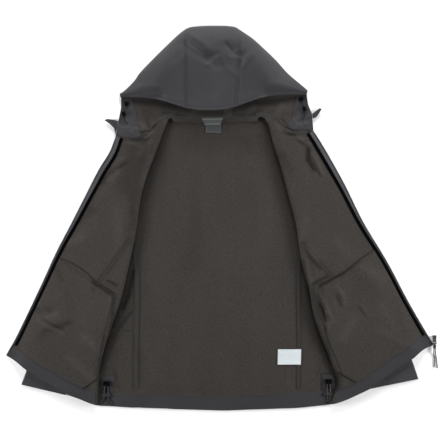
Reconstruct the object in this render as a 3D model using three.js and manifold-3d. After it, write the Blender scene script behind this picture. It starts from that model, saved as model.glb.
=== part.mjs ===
// A hooded softshell jacket, opened wide and laid on its back with the lining up.
// Millimetres. +Z up, +Y towards the hood, +X to the right of the one who looks down at it.
import * as THREE from "three";
import { mergeVertices } from "three/addons/utils/BufferGeometryUtils.js";
import Module from "manifold-3d";

const wasm = await Module();
wasm.setup();

// Driving dimensions
const WALL = 1.6; // softshell with its bonded lining
const TRIM = 0.9; // tapes, facings, pocket bags and labels
const SEAM = 0.3; // gap at every seam and under everything that lies on a panel
const FOLD_GAP = 0.4; // between the back and the wall of a front that lies on it
const BACK_LENGTH = 722; // centre back, from neck seam to hem
const NECK_Y = 243; // height of the back neck seam on the page
const HEM_Y = NECK_Y - BACK_LENGTH;
const SLEEVE_HEIGHT = 4.6; // a flattened sleeve, both walls
const FRONT_LOW = 1.0; // underside of a front where it comes down beside the sleeve
const FRONT_OVER_SLEEVE = 5.6; // underside of a front above the sleeve
const SLEEVE_SLOPE = { start: 12, end: 42 }; // distance outside the sleeve where a front comes down
const ZIP_BINDING = 8; // width of the black binding along the zip
const HEM_FACING = 30;
const CORD_RADIUS = 1.2;
const HOOD_RISE = 40; // height of the hood's crown above the surface
const HOOD_END_RISE = 9; // its height at the two ends of the brim
const HOOD_ROLL = 52; // width of the rounded edge of the hood
const FRONT_STATIONS = 20;
const FRONT_SWELL = 4; // the fronts' soft rise between fold and zip
const SHELL_SEAM = 0.5; // gap between the hood's outer pieces, which meet on a curve
const GRID = 30; // spacing of the points on the hood's lower layer
const GUARD_HEIGHT = 3.2; // underside of the guards at the chin
const LAYER = WALL / 2 + SEAM + TRIM / 2; // from the middle of a panel to the middle of what lies on it

// Colours and finishes
const shellCloth = { color: 0x3e3d40, roughness: 0.86, metalness: 0 };
const liningCloth = { color: 0x3b3835, roughness: 0.95, metalness: 0 };
const blackTrim = { color: 0x0b0b0c, roughness: 0.7, metalness: 0 };
const greyTape = { color: 0x55555a, roughness: 0.8, metalness: 0 };
const blackPlastic = { color: 0x101012, roughness: 0.4, metalness: 0 };
const darkMetal = { color: 0x3a3a3d, roughness: 0.35, metalness: 0.9 };
const whiteLabel = { color: 0xe9e9e6, roughness: 0.75, metalness: 0 };

// The pieces are laid out on a page whose zero is near the middle of the chest; the row's origin is under
// the middle of the whole jacket.
const PAGE_SHIFT = { x: 0.75, y: -1.4 };
const jacket = new THREE.Group();
const page = new THREE.Group();
page.position.set(PAGE_SHIFT.x, PAGE_SHIFT.y, 0);
jacket.add(page);

// From 0 at low to 1 at high, with soft ends.
function smoothstep(low, high, value) {
  const t = Math.min(1, Math.max(0, (value - low) / (high - low)));
  return t * t * (3 - 2 * t);
}

function solidOf(geometry) {
  geometry.deleteAttribute("normal");
  geometry.deleteAttribute("uv");
  const merged = mergeVertices(geometry, 1e-4);
  const mesh = new wasm.Mesh({
    numProp: 3,
    vertProperties: new Float32Array(merged.attributes.position.array),
    triVerts: new Uint32Array(merged.index.array),
  });
  return new wasm.Manifold(mesh);
}

function geometryOf(solid) {
  const mesh = solid.getMesh();
  const geometry = new THREE.BufferGeometry();
  geometry.setAttribute("position", new THREE.BufferAttribute(new Float32Array(mesh.vertProperties), 3));
  geometry.setIndex(new THREE.BufferAttribute(new Uint32Array(mesh.triVerts), 1));
  return geometry;
}

function addPiece(name, solid, finish) {
  const material = new THREE.MeshStandardMaterial(finish);
  const mesh = new THREE.Mesh(geometryOf(solid), material);
  mesh.name = name;
  page.add(mesh);
  return solid;
}

// A vertical prism over a closed outline of [x, y] points.
function prism(outline, bottom, top) {
  const shape = new THREE.Shape(outline.map(([x, y]) => new THREE.Vector2(x, y)));
  const geometry = new THREE.ExtrudeGeometry(shape, { depth: top - bottom, bevelEnabled: false });
  geometry.translate(0, 0, bottom);
  return solidOf(geometry);
}

// A cloth wall over rows of points on its middle surface. moved shifts it along its own normals, which turn
// mirrors.
function clothWall(rows, thickness, moved = 0, turn = 1) {
  const across = rows[0].length;
  const point = (r, c) => new THREE.Vector3(...rows[r][c]);
  const faces = [[], []];
  rows.forEach((row, r) =>
    row.forEach((_, c) => {
      const along = point(Math.min(r + 1, rows.length - 1), c).sub(point(Math.max(r - 1, 0), c));
      const over = point(r, Math.min(c + 1, across - 1)).sub(point(r, Math.max(c - 1, 0)));
      const normal = over.cross(along).setLength(turn);
      faces[0].push(point(r, c).addScaledVector(normal, moved + thickness / 2));
      faces[1].push(point(r, c).addScaledVector(normal, moved - thickness / 2));
    }),
  );
  const half = rows.length * across;
  const corners = [];
  const quad = (a, b, c, d) => corners.push(a, b, c, a, c, d);
  const at = (r, c, side) => side * half + r * across + c;
  for (let r = 0; r < rows.length - 1; r++)
    for (let c = 0; c < across - 1; c++) {
      quad(at(r, c, 0), at(r, c + 1, 0), at(r + 1, c + 1, 0), at(r + 1, c, 0));
      quad(at(r, c, 1), at(r + 1, c, 1), at(r + 1, c + 1, 1), at(r, c + 1, 1));
    }
  for (let c = 0; c < across - 1; c++) {
    const last = rows.length - 1;
    quad(at(0, c, 1), at(0, c + 1, 1), at(0, c + 1, 0), at(0, c, 0));
    quad(at(last, c, 0), at(last, c + 1, 0), at(last, c + 1, 1), at(last, c, 1));
  }
  for (let r = 0; r < rows.length - 1; r++) {
    const end = across - 1;
    quad(at(r, 0, 0), at(r + 1, 0, 0), at(r + 1, 0, 1), at(r, 0, 1));
    quad(at(r, end, 1), at(r + 1, end, 1), at(r + 1, end, 0), at(r, end, 0));
  }
  return closedSolid([...faces[0], ...faces[1]], corners);
}

function closedSolid(points, corners) {
  const geometry = new THREE.BufferGeometry();
  geometry.setAttribute(
    "position",
    new THREE.BufferAttribute(new Float32Array(points.flatMap((p) => [p.x, p.y, p.z])), 3),
  );
  geometry.setIndex(corners);
  const solid = solidOf(geometry);
  if (solid.volume() > 0) return solid;
  for (let i = 0; i < corners.length; i += 3) {
    [corners[i + 1], corners[i + 2]] = [corners[i + 2], corners[i + 1]];
  }
  geometry.setIndex(corners);
  return solidOf(geometry);
}

// Height of a solid's upper face at x, y.
function topOf(solid, x, y) {
  const { vertProperties: v, triVerts: t } = solid.getMesh();
  let best = -Infinity;
  for (let i = 0; i < t.length; i += 3) {
    const [a, b, c] = [3 * t[i], 3 * t[i + 1], 3 * t[i + 2]];
    const area = (v[b] - v[a]) * (v[c + 1] - v[a + 1]) - (v[c] - v[a]) * (v[b + 1] - v[a + 1]);
    if (Math.abs(area) < 1e-9) continue;
    const p = ((v[b] - x) * (v[c + 1] - y) - (v[c] - x) * (v[b + 1] - y)) / area;
    const q = ((v[c] - x) * (v[a + 1] - y) - (v[a] - x) * (v[c + 1] - y)) / area;
    if (p < 0 || q < 0 || p + q > 1) continue;
    best = Math.max(best, p * v[a + 2] + q * v[b + 2] + (1 - p - q) * v[c + 2]);
  }
  return best;
}

// A smooth curve through [x, y] points, as count + 1 points.
function smoothLine(points, count) {
  const vectors = points.map(([x, y]) => new THREE.Vector3(x, y, 0));
  const curve = new THREE.CatmullRomCurve3(vectors, false, "centripetal");
  return curve.getSpacedPoints(count).map((p) => [p.x, p.y]);
}

// The points of an open line, moved sideways: positive is to the left of its direction.
function moveLine(line, distance) {
  return line.map(([x, y], i) => {
    const [ax, ay] = line[Math.max(i - 1, 0)];
    const [bx, by] = line[Math.min(i + 1, line.length - 1)];
    const length = Math.hypot(bx - ax, by - ay);
    return [x - ((by - ay) / length) * distance, y + ((bx - ax) / length) * distance];
  });
}

// A band between two sideways distances from a line.
function band(line, near, far) {
  return [...moveLine(line, near), ...moveLine(line, far).reverse()];
}

// Distance from a point to an open line.
function distanceTo(line, x, y) {
  let best = Infinity;
  for (let i = 0; i < line.length - 1; i++) {
    const [ax, ay] = line[i];
    const [bx, by] = line[i + 1];
    const along = ((x - ax) * (bx - ax) + (y - ay) * (by - ay)) / ((bx - ax) ** 2 + (by - ay) ** 2);
    const t = Math.min(1, Math.max(0, along));
    best = Math.min(best, Math.hypot(x - ax - t * (bx - ax), y - ay - t * (by - ay)));
  }
  return best;
}

// Soft ridges (positive depth) and troughs (negative) in the cloth.
function foldsAt(folds, x, y) {
  return folds.reduce((sum, f) => {
    const away = distanceTo([[f.x1, f.y1], [f.x2, f.y2]], x, y);
    return sum + f.depth * Math.exp(-((away / f.width) ** 2));
  }, 0);
}

// Back: three flat panels, with the princess seams where the tapes are.
const leftPrincess = [[-214, -482], [-213, -300], [-212, -120], [-222, -20], [-252, 88]];
const rightPrincess = [[192, -482], [193, -300], [192, -120], [198, -20], [207, 88]];

// Fronts, one row for each section from the neck to below the hem. Each section runs from the side seam
// (seam) under the front to the fold and back out to the zip; roll is the height of the fold.
const leftFront = {
  side: "L",
  sections: [
    { foldX: -124, foldY: 270, zipX: -250, zipY: 236, seamX: -236, seamY: 230, roll: 8 },
    { foldX: -145, foldY: 216, zipX: -282, zipY: 160, seamX: -254, seamY: 178, roll: 11 },
    { foldX: -162, foldY: 170, zipX: -309, zipY: 116, seamX: -250, seamY: 140, roll: 14 },
    { foldX: -184, foldY: 113, zipX: -338, zipY: 60, seamX: -250, seamY: 96, roll: 16 },
    { foldX: -202, foldY: 49, zipX: -369, zipY: -2, seamX: -257, seamY: 40, roll: 16 },
    { foldX: -213, foldY: -30, zipX: -404, zipY: -70, seamX: -272, seamY: -20, roll: 16 },
    { foldX: -229, foldY: -108, zipX: -440, zipY: -144, seamX: -279, seamY: -108, roll: 15 },
    { foldX: -251, foldY: -201, zipX: -480, zipY: -228, seamX: -287, seamY: -201, roll: 14 },
    { foldX: -273, foldY: -266, zipX: -510, zipY: -290, seamX: -297, seamY: -266, roll: 14 },
    { foldX: -294, foldY: -331, zipX: -541, zipY: -340, seamX: -307, seamY: -331, roll: 11 },
    { foldX: -305, foldY: -381, zipX: -566, zipY: -392, seamX: -314, seamY: -381, roll: 9 },
    { foldX: -310, foldY: -430, zipX: -590, zipY: -446, seamX: -318, seamY: -430, roll: 8.4 },
    { foldX: -312, foldY: -480, zipX: -615, zipY: -500, seamX: -321, seamY: -480, roll: 8.2 },
  ],
  neck: [[-264, 206], [-247, 201], [-219, 200], [-195, 203], [-178, 215], [-163, 232], [-150, 245],
    [-129, 252]],
  zip: [[-264, 206], [-278, 168], [-305, 124], [-340, 56], [-374, -11], [-411, -82], [-447, -160],
    [-483, -235], [-518, -306], [-538, -341]],
  hem: [[-538, -341], [-511, -358], [-488, -376], [-462, -393], [-439, -407], [-412, -422], [-384, -438],
    [-353, -450], [-329, -460], [-309, -466]],
  sleeveOut: [[-238, 188], [-280, 136], [-318, 40], [-352, -20], [-388, -95], [-438, -235], [-486, -376],
    [-500, -414]],
  sleeveIn: [[-258, -2], [-282, -56], [-292, -130], [-302, -200], [-318, -270], [-340, -330], [-366, -390],
    [-390, -440]],
  folds: [
    { x1: -291, y1: 84, x2: -271, y2: 122, depth: -3, width: 16 },
    { x1: -159, y1: 197, x2: -201, y2: 47, depth: 2.5, width: 22 },
    { x1: -457, y1: -281, x2: -394, y2: -256, depth: 2.5, width: 16 },
    { x1: -466, y1: -243, x2: -439, y2: -203, depth: 3, width: 18 },
    { x1: -372, y1: -60, x2: -300, y2: -40, depth: 1.5, width: 30 },
  ],
};
const rightFront = {
  side: "R",
  sections: [
    { foldX: 92, foldY: 274, zipX: 212, zipY: 262, seamX: 196, seamY: 240, roll: 8 },
    { foldX: 117, foldY: 234, zipX: 240, zipY: 212, seamX: 212, seamY: 200, roll: 11 },
    { foldX: 128, foldY: 191, zipX: 266, zipY: 166, seamX: 212, seamY: 165, roll: 14 },
    { foldX: 146, foldY: 138, zipX: 294, zipY: 110, seamX: 207, seamY: 125, roll: 16 },
    { foldX: 160, foldY: 85, zipX: 322, zipY: 54, seamX: 206, seamY: 80, roll: 16 },
    { foldX: 185, foldY: -11, zipX: 366, zipY: -28, seamX: 240, seamY: -8, roll: 16 },
    { foldX: 199, foldY: -103, zipX: 414, zipY: -106, seamX: 247, seamY: -103, roll: 15 },
    { foldX: 217, foldY: -171, zipX: 452, zipY: -176, seamX: 252, seamY: -171, roll: 16 },
    { foldX: 231, foldY: -242, zipX: 488, zipY: -240, seamX: 259, seamY: -242, roll: 16 },
    { foldX: 249, foldY: -295, zipX: 516, zipY: -290, seamX: 268, seamY: -295, roll: 14 },
    { foldX: 267, foldY: -338, zipX: 540, zipY: -330, seamX: 280, seamY: -338, roll: 11 },
    { foldX: 280, foldY: -377, zipX: 566, zipY: -375, seamX: 290, seamY: -377, roll: 9 },
    { foldX: 290, foldY: -410, zipX: 590, zipY: -420, seamX: 299, seamY: -410, roll: 8.4 },
    { foldX: 277, foldY: -450, zipX: 605, zipY: -460, seamX: 286, seamY: -452, roll: 8.2 },
    { foldX: 258, foldY: -486, zipX: 615, zipY: -500, seamX: 267, seamY: -488, roll: 8.2 },
  ],
  neck: [[229, 221], [205, 220], [181, 219], [161, 225], [143, 240], [123, 252], [98, 255]],
  zip: [[229, 221], [260, 170], [306, 88], [355, -11], [413, -107], [466, -206], [516, -292], [530, -315]],
  hem: [[530, -315], [501, -329], [474, -351], [442, -371], [387, -411], [375, -421], [346, -436],
    [306, -454], [284, -461], [270, -463]],
  sleeveOut: [[196, 200], [236, 152], [276, 70], [318, 0], [362, -80], [420, -200], [474, -348], [492, -400]],
  sleeveIn: [[232, -2], [254, -56], [262, -130], [270, -200], [290, -270], [314, -330], [342, -380],
    [374, -424]],
  folds: [
    { x1: 214, y1: 177, x2: 224, y2: 132, depth: -3, width: 15 },
    { x1: 245, y1: -210, x2: 267, y2: -260, depth: 2.5, width: 16 },
    { x1: 285, y1: -192, x2: 299, y2: -220, depth: -2, width: 14 },
    { x1: 330, y1: -120, x2: 400, y2: -180, depth: 2, width: 24 },
    { x1: 120, y1: 200, x2: 160, y2: 90, depth: 2, width: 20 },
  ],
};
for (const front of [leftFront, rightFront]) {
  front.sleeveOutLine = smoothLine(front.sleeveOut, 40);
  front.inward = front.side === "L" ? 1 : -1;
}

// Height of a front's middle surface, away from its fold.
function frontHeight(front, x, y) {
  const line = front.sleeveOutLine;
  const span = ([px, py]) => Math.hypot(px - x, py - y);
  const nearest = line.reduce((a, b) => (span(b) < span(a) ? b : a));
  const inside = (x - nearest[0]) * front.inward > 0;
  const away = inside ? 0 : distanceTo(line, x, y);
  const rise = 1 - smoothstep(SLEEVE_SLOPE.start, SLEEVE_SLOPE.end, away);
  const under = FRONT_LOW + (FRONT_OVER_SLEEVE - FRONT_LOW) * rise;
  return under + WALL / 2;
}

// Sections of a front from the side seam over the fold to the zip.
function frontRows(front) {
  const through = (place) => new THREE.CatmullRomCurve3(front.sections.map(place), false, "centripetal");
  const lines = {
    fold: through((s) => new THREE.Vector3(s.foldX, s.foldY, s.roll)),
    zip: through((s) => new THREE.Vector3(s.zipX, s.zipY, 0)),
    seam: through((s) => new THREE.Vector3(s.seamX, s.seamY, 0)),
  };
  const rows = [];
  const underMiddle = WALL + FOLD_GAP + WALL / 2;
  for (let i = 0; i <= FRONT_STATIONS; i++) {
    const v = i / FRONT_STATIONS;
    const fold = lines.fold.getPoint(v);
    const zip = lines.zip.getPoint(v);
    const seam = lines.seam.getPoint(v);
    const before = lines.fold.getPoint(Math.max(v - 0.02, 0));
    const after = lines.fold.getPoint(Math.min(v + 0.02, 1));
    const length = Math.hypot(after.x - before.x, after.y - before.y);
    const outX = (-front.inward * Math.abs(after.y - before.y)) / length;
    const outY = (front.inward * (after.x - before.x)) / length;
    const radius = (fold.z - underMiddle) / 2;
    const reach = radius + WALL / 2;
    const centre = [fold.x + outX * reach, fold.y + outY * reach];
    const row = [];
    for (const t of [1, 0.5]) {
      row.push([
        centre[0] + t * (seam.x - centre[0]),
        centre[1] + t * (seam.y - centre[1]),
        underMiddle,
      ]);
    }
    for (let k = 0; k <= 5; k++) {
      const angle = -Math.PI / 2 + (Math.PI * k) / 5;
      const out = -Math.cos(angle) * radius;
      const height = underMiddle + radius * (1 + Math.sin(angle));
      row.push([centre[0] + outX * out, centre[1] + outY * out, height]);
    }
    for (const u of [0.06, 0.13, 0.22, 0.33, 0.46, 0.6, 0.74, 0.87, 1]) {
      const x = centre[0] + u * (zip.x - centre[0]);
      const y = centre[1] + u * (zip.y - centre[1]);
      const width = Math.hypot(zip.x - centre[0], zip.y - centre[1]);
      const settle = smoothstep(0, Math.min(110, 0.6 * width), u * width);
      const base = frontHeight(front, x, y);
      const edge = smoothstep(4, 60, distanceTo(front.zip, x, y));
      const soft = (FRONT_SWELL + foldsAt(front.folds, x, y)) * edge * settle;
      row.push([x, y, Math.max(fold.z + (base - fold.z) * settle + soft, base)]);
    }
    rows.push(row);
  }
  return rows;
}

const fronts = {};
for (const front of [leftFront, rightFront]) {
  const neck = smoothLine(front.neck, 14);
  const zip = smoothLine(front.zip, 15);
  const hem = smoothLine(front.hem, 12);
  const last = hem[hem.length - 1];
  const [neckX, neckY] = neck[neck.length - 1];
  const beyondFold = [
    last,
    [front.side === "L" ? -150 : 120, HEM_Y + 60],
    [front.side === "L" ? -100 : 70, 160],
    [neckX + front.inward * 4, neckY],
  ];
  const outline = [...zip.slice(0, -1), ...hem, ...beyondFold, ...neck.slice(1).reverse()];
  const cut = prism(outline, -5, 60);
  const rows = frontRows(front);
  const upper = rows.map((row) => row.slice(5));
  fronts[front.side] = {
    front,
    neck,
    zip,
    hem,
    outline,
    rows,
    solid: clothWall(rows, WALL, 0, front.inward).intersect(cut),
    layer: () => clothWall(upper, TRIM, LAYER, front.inward),
  };
  addPiece("front_" + front.side, fronts[front.side].solid, liningCloth);
}

// The part of the layer over a panel that lies inside an outline.
function patchOn(panel, outline) {
  return panel.layer().intersect(prism(outline, -5, 90));
}

// Back panels, under the fronts' lower walls.
const seamLine = (side) => fronts[side].rows.map((row) => [row[0][0], row[0][1]]);
const leftSeam = seamLine("L").filter(([, y]) => y < 182 && y > -460);
const rightSeam = seamLine("R").filter(([, y]) => y < 202 && y > -456);
const backHem = [[-315, -466], [-219, -472], [-129, -475], [4, -479], [192, -473], [244, -467], [276, -463]];
const backNeck = [[-120, 244], [-70, NECK_Y], [50, NECK_Y], [88, 245]];
const backOutline = [
  ...backHem,
  ...rightSeam.slice().reverse(),
  [205, 205], [181, 213], [161, 218], [143, 233], [123, 246], [99, 254.2], [92, 254.2],
  ...backNeck.slice().reverse(),
  [-123, 251.2], [-130, 251.2], [-150, 238], [-163, 225], [-178, 208], [-195, 196], [-219, 192],
  ...leftSeam,
];
const backPlate = prism(backOutline, 0, WALL);
const leftCut = smoothLine(leftPrincess, 10);
const rightCut = smoothLine(rightPrincess, 10);
const farLeft = [[-700, 88], [-700, -482]];
const farRight = [[700, 88], [700, -482]];
const leftRegion = [...moveLine(leftCut, SEAM / 2), ...farLeft];
const rightRegion = [...moveLine(rightCut, -SEAM / 2), ...farRight];
const leftClear = [...moveLine(leftCut, -SEAM / 2), ...farLeft];
const rightClear = [...moveLine(rightCut, SEAM / 2), ...farRight];
addPiece("back_side_L", backPlate.intersect(prism(leftRegion, -5, 5)), liningCloth);
addPiece("back_side_R", backPlate.intersect(prism(rightRegion, -5, 5)), liningCloth);
const backCentre = backPlate.subtract(prism(leftClear, -5, 5)).subtract(prism(rightClear, -5, 5));
addPiece("back_centre", backCentre, liningCloth);

// A flat piece that lies on the back.
function onBack(outline, level = 0) {
  const bottom = WALL + SEAM + level * (TRIM + SEAM);
  return prism(outline, bottom, bottom + TRIM);
}

// Sleeves: flattened tubes, open at the armhole and the cuff.
function sleeve(front) {
  const stations = 9;
  const out = smoothLine(front.sleeveOut, stations);
  const inner = smoothLine(front.sleeveIn, stations);
  const half = SLEEVE_HEIGHT / 2;
  const ring = (a, b, inset) => {
    const width = Math.hypot(b[0] - a[0], b[1] - a[1]);
    const direction = [(b[0] - a[0]) / width, (b[1] - a[1]) / width];
    const radius = half - inset;
    const points = [];
    const push = (along, z) => {
      points.push(new THREE.Vector3(a[0] + direction[0] * along, a[1] + direction[1] * along, z));
    };
    for (const t of [0, 0.25, 0.5, 0.75, 1]) push(half + t * (width - 2 * half), half + radius);
    push(width - half + radius * 0.8, half + radius * 0.6);
    push(width - half + radius * 0.8, half - radius * 0.6);
    for (const t of [1, 0.75, 0.5, 0.25, 0]) push(half + t * (width - 2 * half), half - radius);
    push(half - radius * 0.8, half - radius * 0.6);
    push(half - radius * 0.8, half + radius * 0.6);
    return points;
  };
  const outer = out.map((p, i) => ring(p, inner[i], 0));
  const hollow = out.map((p, i) => ring(p, inner[i], WALL));
  const around = outer[0].length;
  const points = [...outer.flat(), ...hollow.flat()];
  const shift = outer.length * around;
  const corners = [];
  const quad = (a, b, c, d) => corners.push(a, b, c, a, c, d);
  for (let i = 0; i < stations; i++)
    for (let k = 0; k < around; k++) {
      const n = (k + 1) % around;
      quad(i * around + k, i * around + n, (i + 1) * around + n, (i + 1) * around + k);
      const [low, high] = [shift + i * around, shift + (i + 1) * around];
      quad(low + n, low + k, high + k, high + n);
    }
  for (let k = 0; k < around; k++) {
    const n = (k + 1) % around;
    const end = stations * around;
    quad(n, k, shift + k, shift + n);
    quad(end + k, end + n, shift + end + n, shift + end + k);
  }
  return closedSolid(points, corners);
}
for (const front of [leftFront, rightFront])
  addPiece("sleeve_" + front.side, largest(sleeve(front).subtract(bodyGround(front))), shellCloth);

// The ground that the body takes; the sleeve starts just outside its seam.
function bodyGround(front) {
  const outward = -front.inward * SEAM;
  const line = seamLine(front.side);
  const outer = line.map(([x, y]) => [x + outward, y]);
  const inner = line.map(([x, y]) => [x + front.inward * 200, y]).reverse();
  return prism([...outer, ...inner], -1, 8);
}

function largest(solid) {
  return solid.decompose().reduce((a, b) => (b.volume() > a.volume() ? b : a));
}

// Hood: the outer shell is folded over towards the viewer, so it is a low dome with a rounded edge that
// stands on the surface. Each strip runs from that edge to the brim.
const hoodParts = {
  hood_side_L: {
    edge: [[-254, 312], [-244, 318], [-216, 346], [-206, 361], [-170, 399], [-131, 437], [-103, 463],
      [-88, 474]],
    brim: [[-252, 303], [-224, 304], [-195, 302], [-160, 297], [-131, 289], [-88, 275]],
    strips: 11,
  },
  hood_centre: {
    edge: [[-88, 474], [-76, 478], [-11, 481], [34, 478], [46, 471]],
    brim: [[-88, 275], [-62, 271], [-38, 270], [4, 272], [36, 279]],
    strips: 7,
  },
  hood_side_R: {
    edge: [[46, 471], [78, 449], [109, 421], [134, 397], [167, 361], [199, 334], [215, 320]],
    brim: [[36, 279], [78, 294], [112, 304], [146, 309], [180, 311], [212, 310]],
    strips: 11,
  },
};
const hoodFolds = [
  { x1: -88, y1: 430, x2: -41, y2: 397, depth: -3, width: 11 },
  { x1: -70, y1: 447, x2: -30, y2: 418, depth: 2.5, width: 12 },
  { x1: -36, y1: 407, x2: -10, y2: 377, depth: -3, width: 10 },
  { x1: 14, y1: 427, x2: 48, y2: 405, depth: -3, width: 12 },
  { x1: 46, y1: 357, x2: 72, y2: 400, depth: 3, width: 12 },
  { x1: 46, y1: 357, x2: 40, y2: 397, depth: -2.5, width: 10 },
  { x1: -235, y1: 318, x2: -190, y2: 325, depth: 3, width: 16 },
  { x1: 130, y1: 330, x2: 196, y2: 345, depth: 3, width: 16 },
];
function hoodRows(part, leftShift, rightShift) {
  const edge = smoothLine(part.edge, part.strips);
  const brim = smoothLine(part.brim, part.strips);
  return edge.map((start, i) => {
    const shift = i === 0 ? leftShift : i === part.strips ? rightShift : 0;
    const end = brim[i];
    const length = Math.hypot(end[0] - start[0], end[1] - start[1]);
    const rise = HOOD_END_RISE + (HOOD_RISE - HOOD_END_RISE) * smoothstep(0, 150, length);
    const roll = Math.min(HOOD_ROLL, 0.55 * length);
    const steps = [0, 0.25, 0.5, 0.75, 1].map((k) => {
      const angle = (k * Math.PI) / 2;
      return [roll * (1 - Math.cos(angle)), rise * Math.sin(angle)];
    });
    for (const k of [0.17, 0.34, 0.51, 0.68, 0.84, 1])
      steps.push([roll + k * (length - roll), rise * (1 - 0.42 * smoothstep(0, 1, k))]);
    return steps.map(([away, z], k) => {
      const x = start[0] + ((end[0] - start[0]) * away) / length + shift;
      const y = start[1] + ((end[1] - start[1]) * away) / length;
      const ripple = k < 3 ? 0 : foldsAt(hoodFolds, x, y) * smoothstep(20, 90, length);
      return [x, y, z + ripple];
    });
  });
}
const aboveSurface = prism([[-600, -600], [600, -600], [600, 600], [-600, 600]], 0, 99);
for (const [name, part] of Object.entries(hoodParts)) {
  const leftShift = name === "hood_side_L" ? 0 : SHELL_SEAM / 2;
  const rightShift = name === "hood_side_R" ? 0 : -SHELL_SEAM / 2;
  const shell = clothWall(hoodRows(part, leftShift, rightShift), WALL).intersect(aboveSurface);
  addPiece(name, shell, shellCloth);
}

// The lower layer of the hood, from the crown down to the neck seam, where it rises to the fronts.
const neckLine = [
  ...fronts.L.neck,
  [-123, 251.5],
  ...backNeck,
  [92, 254.5],
  ...fronts.R.neck.slice().reverse(),
];
const crown = moveLine(
  [...smoothLine(hoodParts.hood_side_L.edge, 16), ...smoothLine(hoodParts.hood_centre.edge, 6).slice(1, -1),
    ...smoothLine(hoodParts.hood_side_R.edge, 16)],
  -2.6,
);
const faceEdgeLeft = [[-251, 303], [-251, 277], [-257, 246], [-262, 222]];
const faceEdgeRight = [[228, 236], [226, 262], [217, 284], [213, 306]];
const hoodNeckOutline = [
  ...moveLine(neckLine, SEAM),
  ...faceEdgeRight,
  ...crown.slice().reverse(),
  ...faceEdgeLeft,
];
const NECK_RISE_WIDTH = 34;
const neckRise = [
  { line: [[-247, 201], [-195, 205], [-163, 232], [-140, 250]], height: 6 },
  { line: [[222, 221], [181, 220], [143, 242], [110, 254]], height: 6 },
];
function hoodNeckHeight(x, y) {
  const rise = (r) => r.height * Math.exp(-((distanceTo(r.line, x, y) / NECK_RISE_WIDTH) ** 2));
  const lift = neckRise.reduce((sum, r) => sum + rise(r), 0);
  const tuck = foldsAt([{ x1: 17, y1: 262, x2: 15, y2: 284, depth: 3, width: 7 }], x, y);
  return WALL / 2 + lift + tuck;
}
const hoodNeckRows = [];
for (let y = 180; y <= 500; y += GRID) {
  const row = [];
  for (let x = -300; x <= 260; x += GRID) row.push([x, y, hoodNeckHeight(x, y)]);
  hoodNeckRows.push(row);
}
const hoodNeck = {
  layer: () => clothWall(hoodNeckRows, TRIM, LAYER),
};
addPiece("hood_neck", clothWall(hoodNeckRows, WALL).intersect(prism(hoodNeckOutline, -5, 40)), liningCloth);

// Grey facings along the hood's opening, and the guards at its chin ends.
const facings = {
  L: [...faceEdgeLeft.map(([x, y]) => [x + 0.5, y]), [-262, 209], [-247, 203.5], [-219, 202.5], [-201, 205],
    [-205, 224], [-210, 247], [-214, 264], [-222, 296], [-224, 303]],
  R: [...faceEdgeRight.map(([x, y]) => [x - 0.5, y]), [187, 306], [184, 290], [177, 251], [165, 228],
    [180, 222], [205, 223], [227, 224]],
};
const hoodFacing = {};
for (const side of ["L", "R"])
  hoodFacing[side] = addPiece("hood_facing_" + side, patchOn(hoodNeck, facings[side]), greyTape);
const chinGuards = {
  L: [[-265, 210], [-268, 226], [-279, 237], [-293, 246.4], [-284, 249], [-269, 247.3], [-257.9, 243.8],
    [-262.4, 222]],
  R: [[227.3, 250], [226.4, 261.5], [236, 269.5], [245, 276], [250.3, 274], [243, 262], [236, 253]],
};
for (const side of ["L", "R"]) {
  const guard = prism(chinGuards[side], GUARD_HEIGHT, GUARD_HEIGHT + WALL);
  addPiece("chin_guard_" + side, guard, greyTape);
}

// Tape over the neck seam, the hanger loop and the two labels.
const tapeLine = neckLine.filter(([x]) => x > -196 && x < 160);
const tapeTop = moveLine(tapeLine, 9).map(([x, y], i) => {
  const middle = smoothstep(-150, -110, tapeLine[i][0]) * (1 - smoothstep(80, 120, tapeLine[i][0]));
  return [x, y + 4 * middle];
});
const neckTape = addPiece(
  "neck_tape",
  patchOn(hoodNeck, [...moveLine(tapeLine, 0.9), ...tapeTop.reverse()]),
  greyTape,
);
const loopOutline = [[-50, 252], [-43, 234], [-2, 235], [5, 253]];
const loopSeat = [-48, -35, -20, -5, 3].flatMap((x) => [topOf(neckTape, x, 245), topOf(neckTape, x, 252)]);
const loopBottom = Math.max(...loopSeat) + SEAM;
addPiece("hanger_loop", prism(loopOutline, loopBottom, loopBottom + TRIM), greyTape);
addPiece("neck_label", onBack([[-39, 240], [-39, 215], [-1, 214], [-1, 240]]), blackTrim);
addPiece("care_label", onBack([[141, -326], [140, -364], [198, -364], [199, -326]], 1), whiteLabel);

// Trim on the back: tapes on the princess seams and the facing of the hem.
const backTapes = {
  L: { line: leftCut.filter(([, y]) => y > -434 && y < -74), half: 6.5 },
  R: { line: rightCut.filter(([, y]) => y > -434 && y < -74), half: 4.5 },
};
for (const side of ["L", "R"]) {
  const { line, half } = backTapes[side];
  const ends = [[line[0][0], -431], ...line, [line[line.length - 1][0], -76]];
  addPiece("back_tape_" + side, onBack(band(ends, -half, half)), liningCloth);
}
const facingTop = [[262, -432], [192, -435], [4, -446], [-129, -441], [-219, -439], [-304, -436]];
const facingBottom = backHem.map(([x, y]) => [Math.min(Math.max(x, -303), 264), y + 1]);
addPiece("hem_facing_back", onBack([...facingTop, ...facingBottom]), greyTape);

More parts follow.
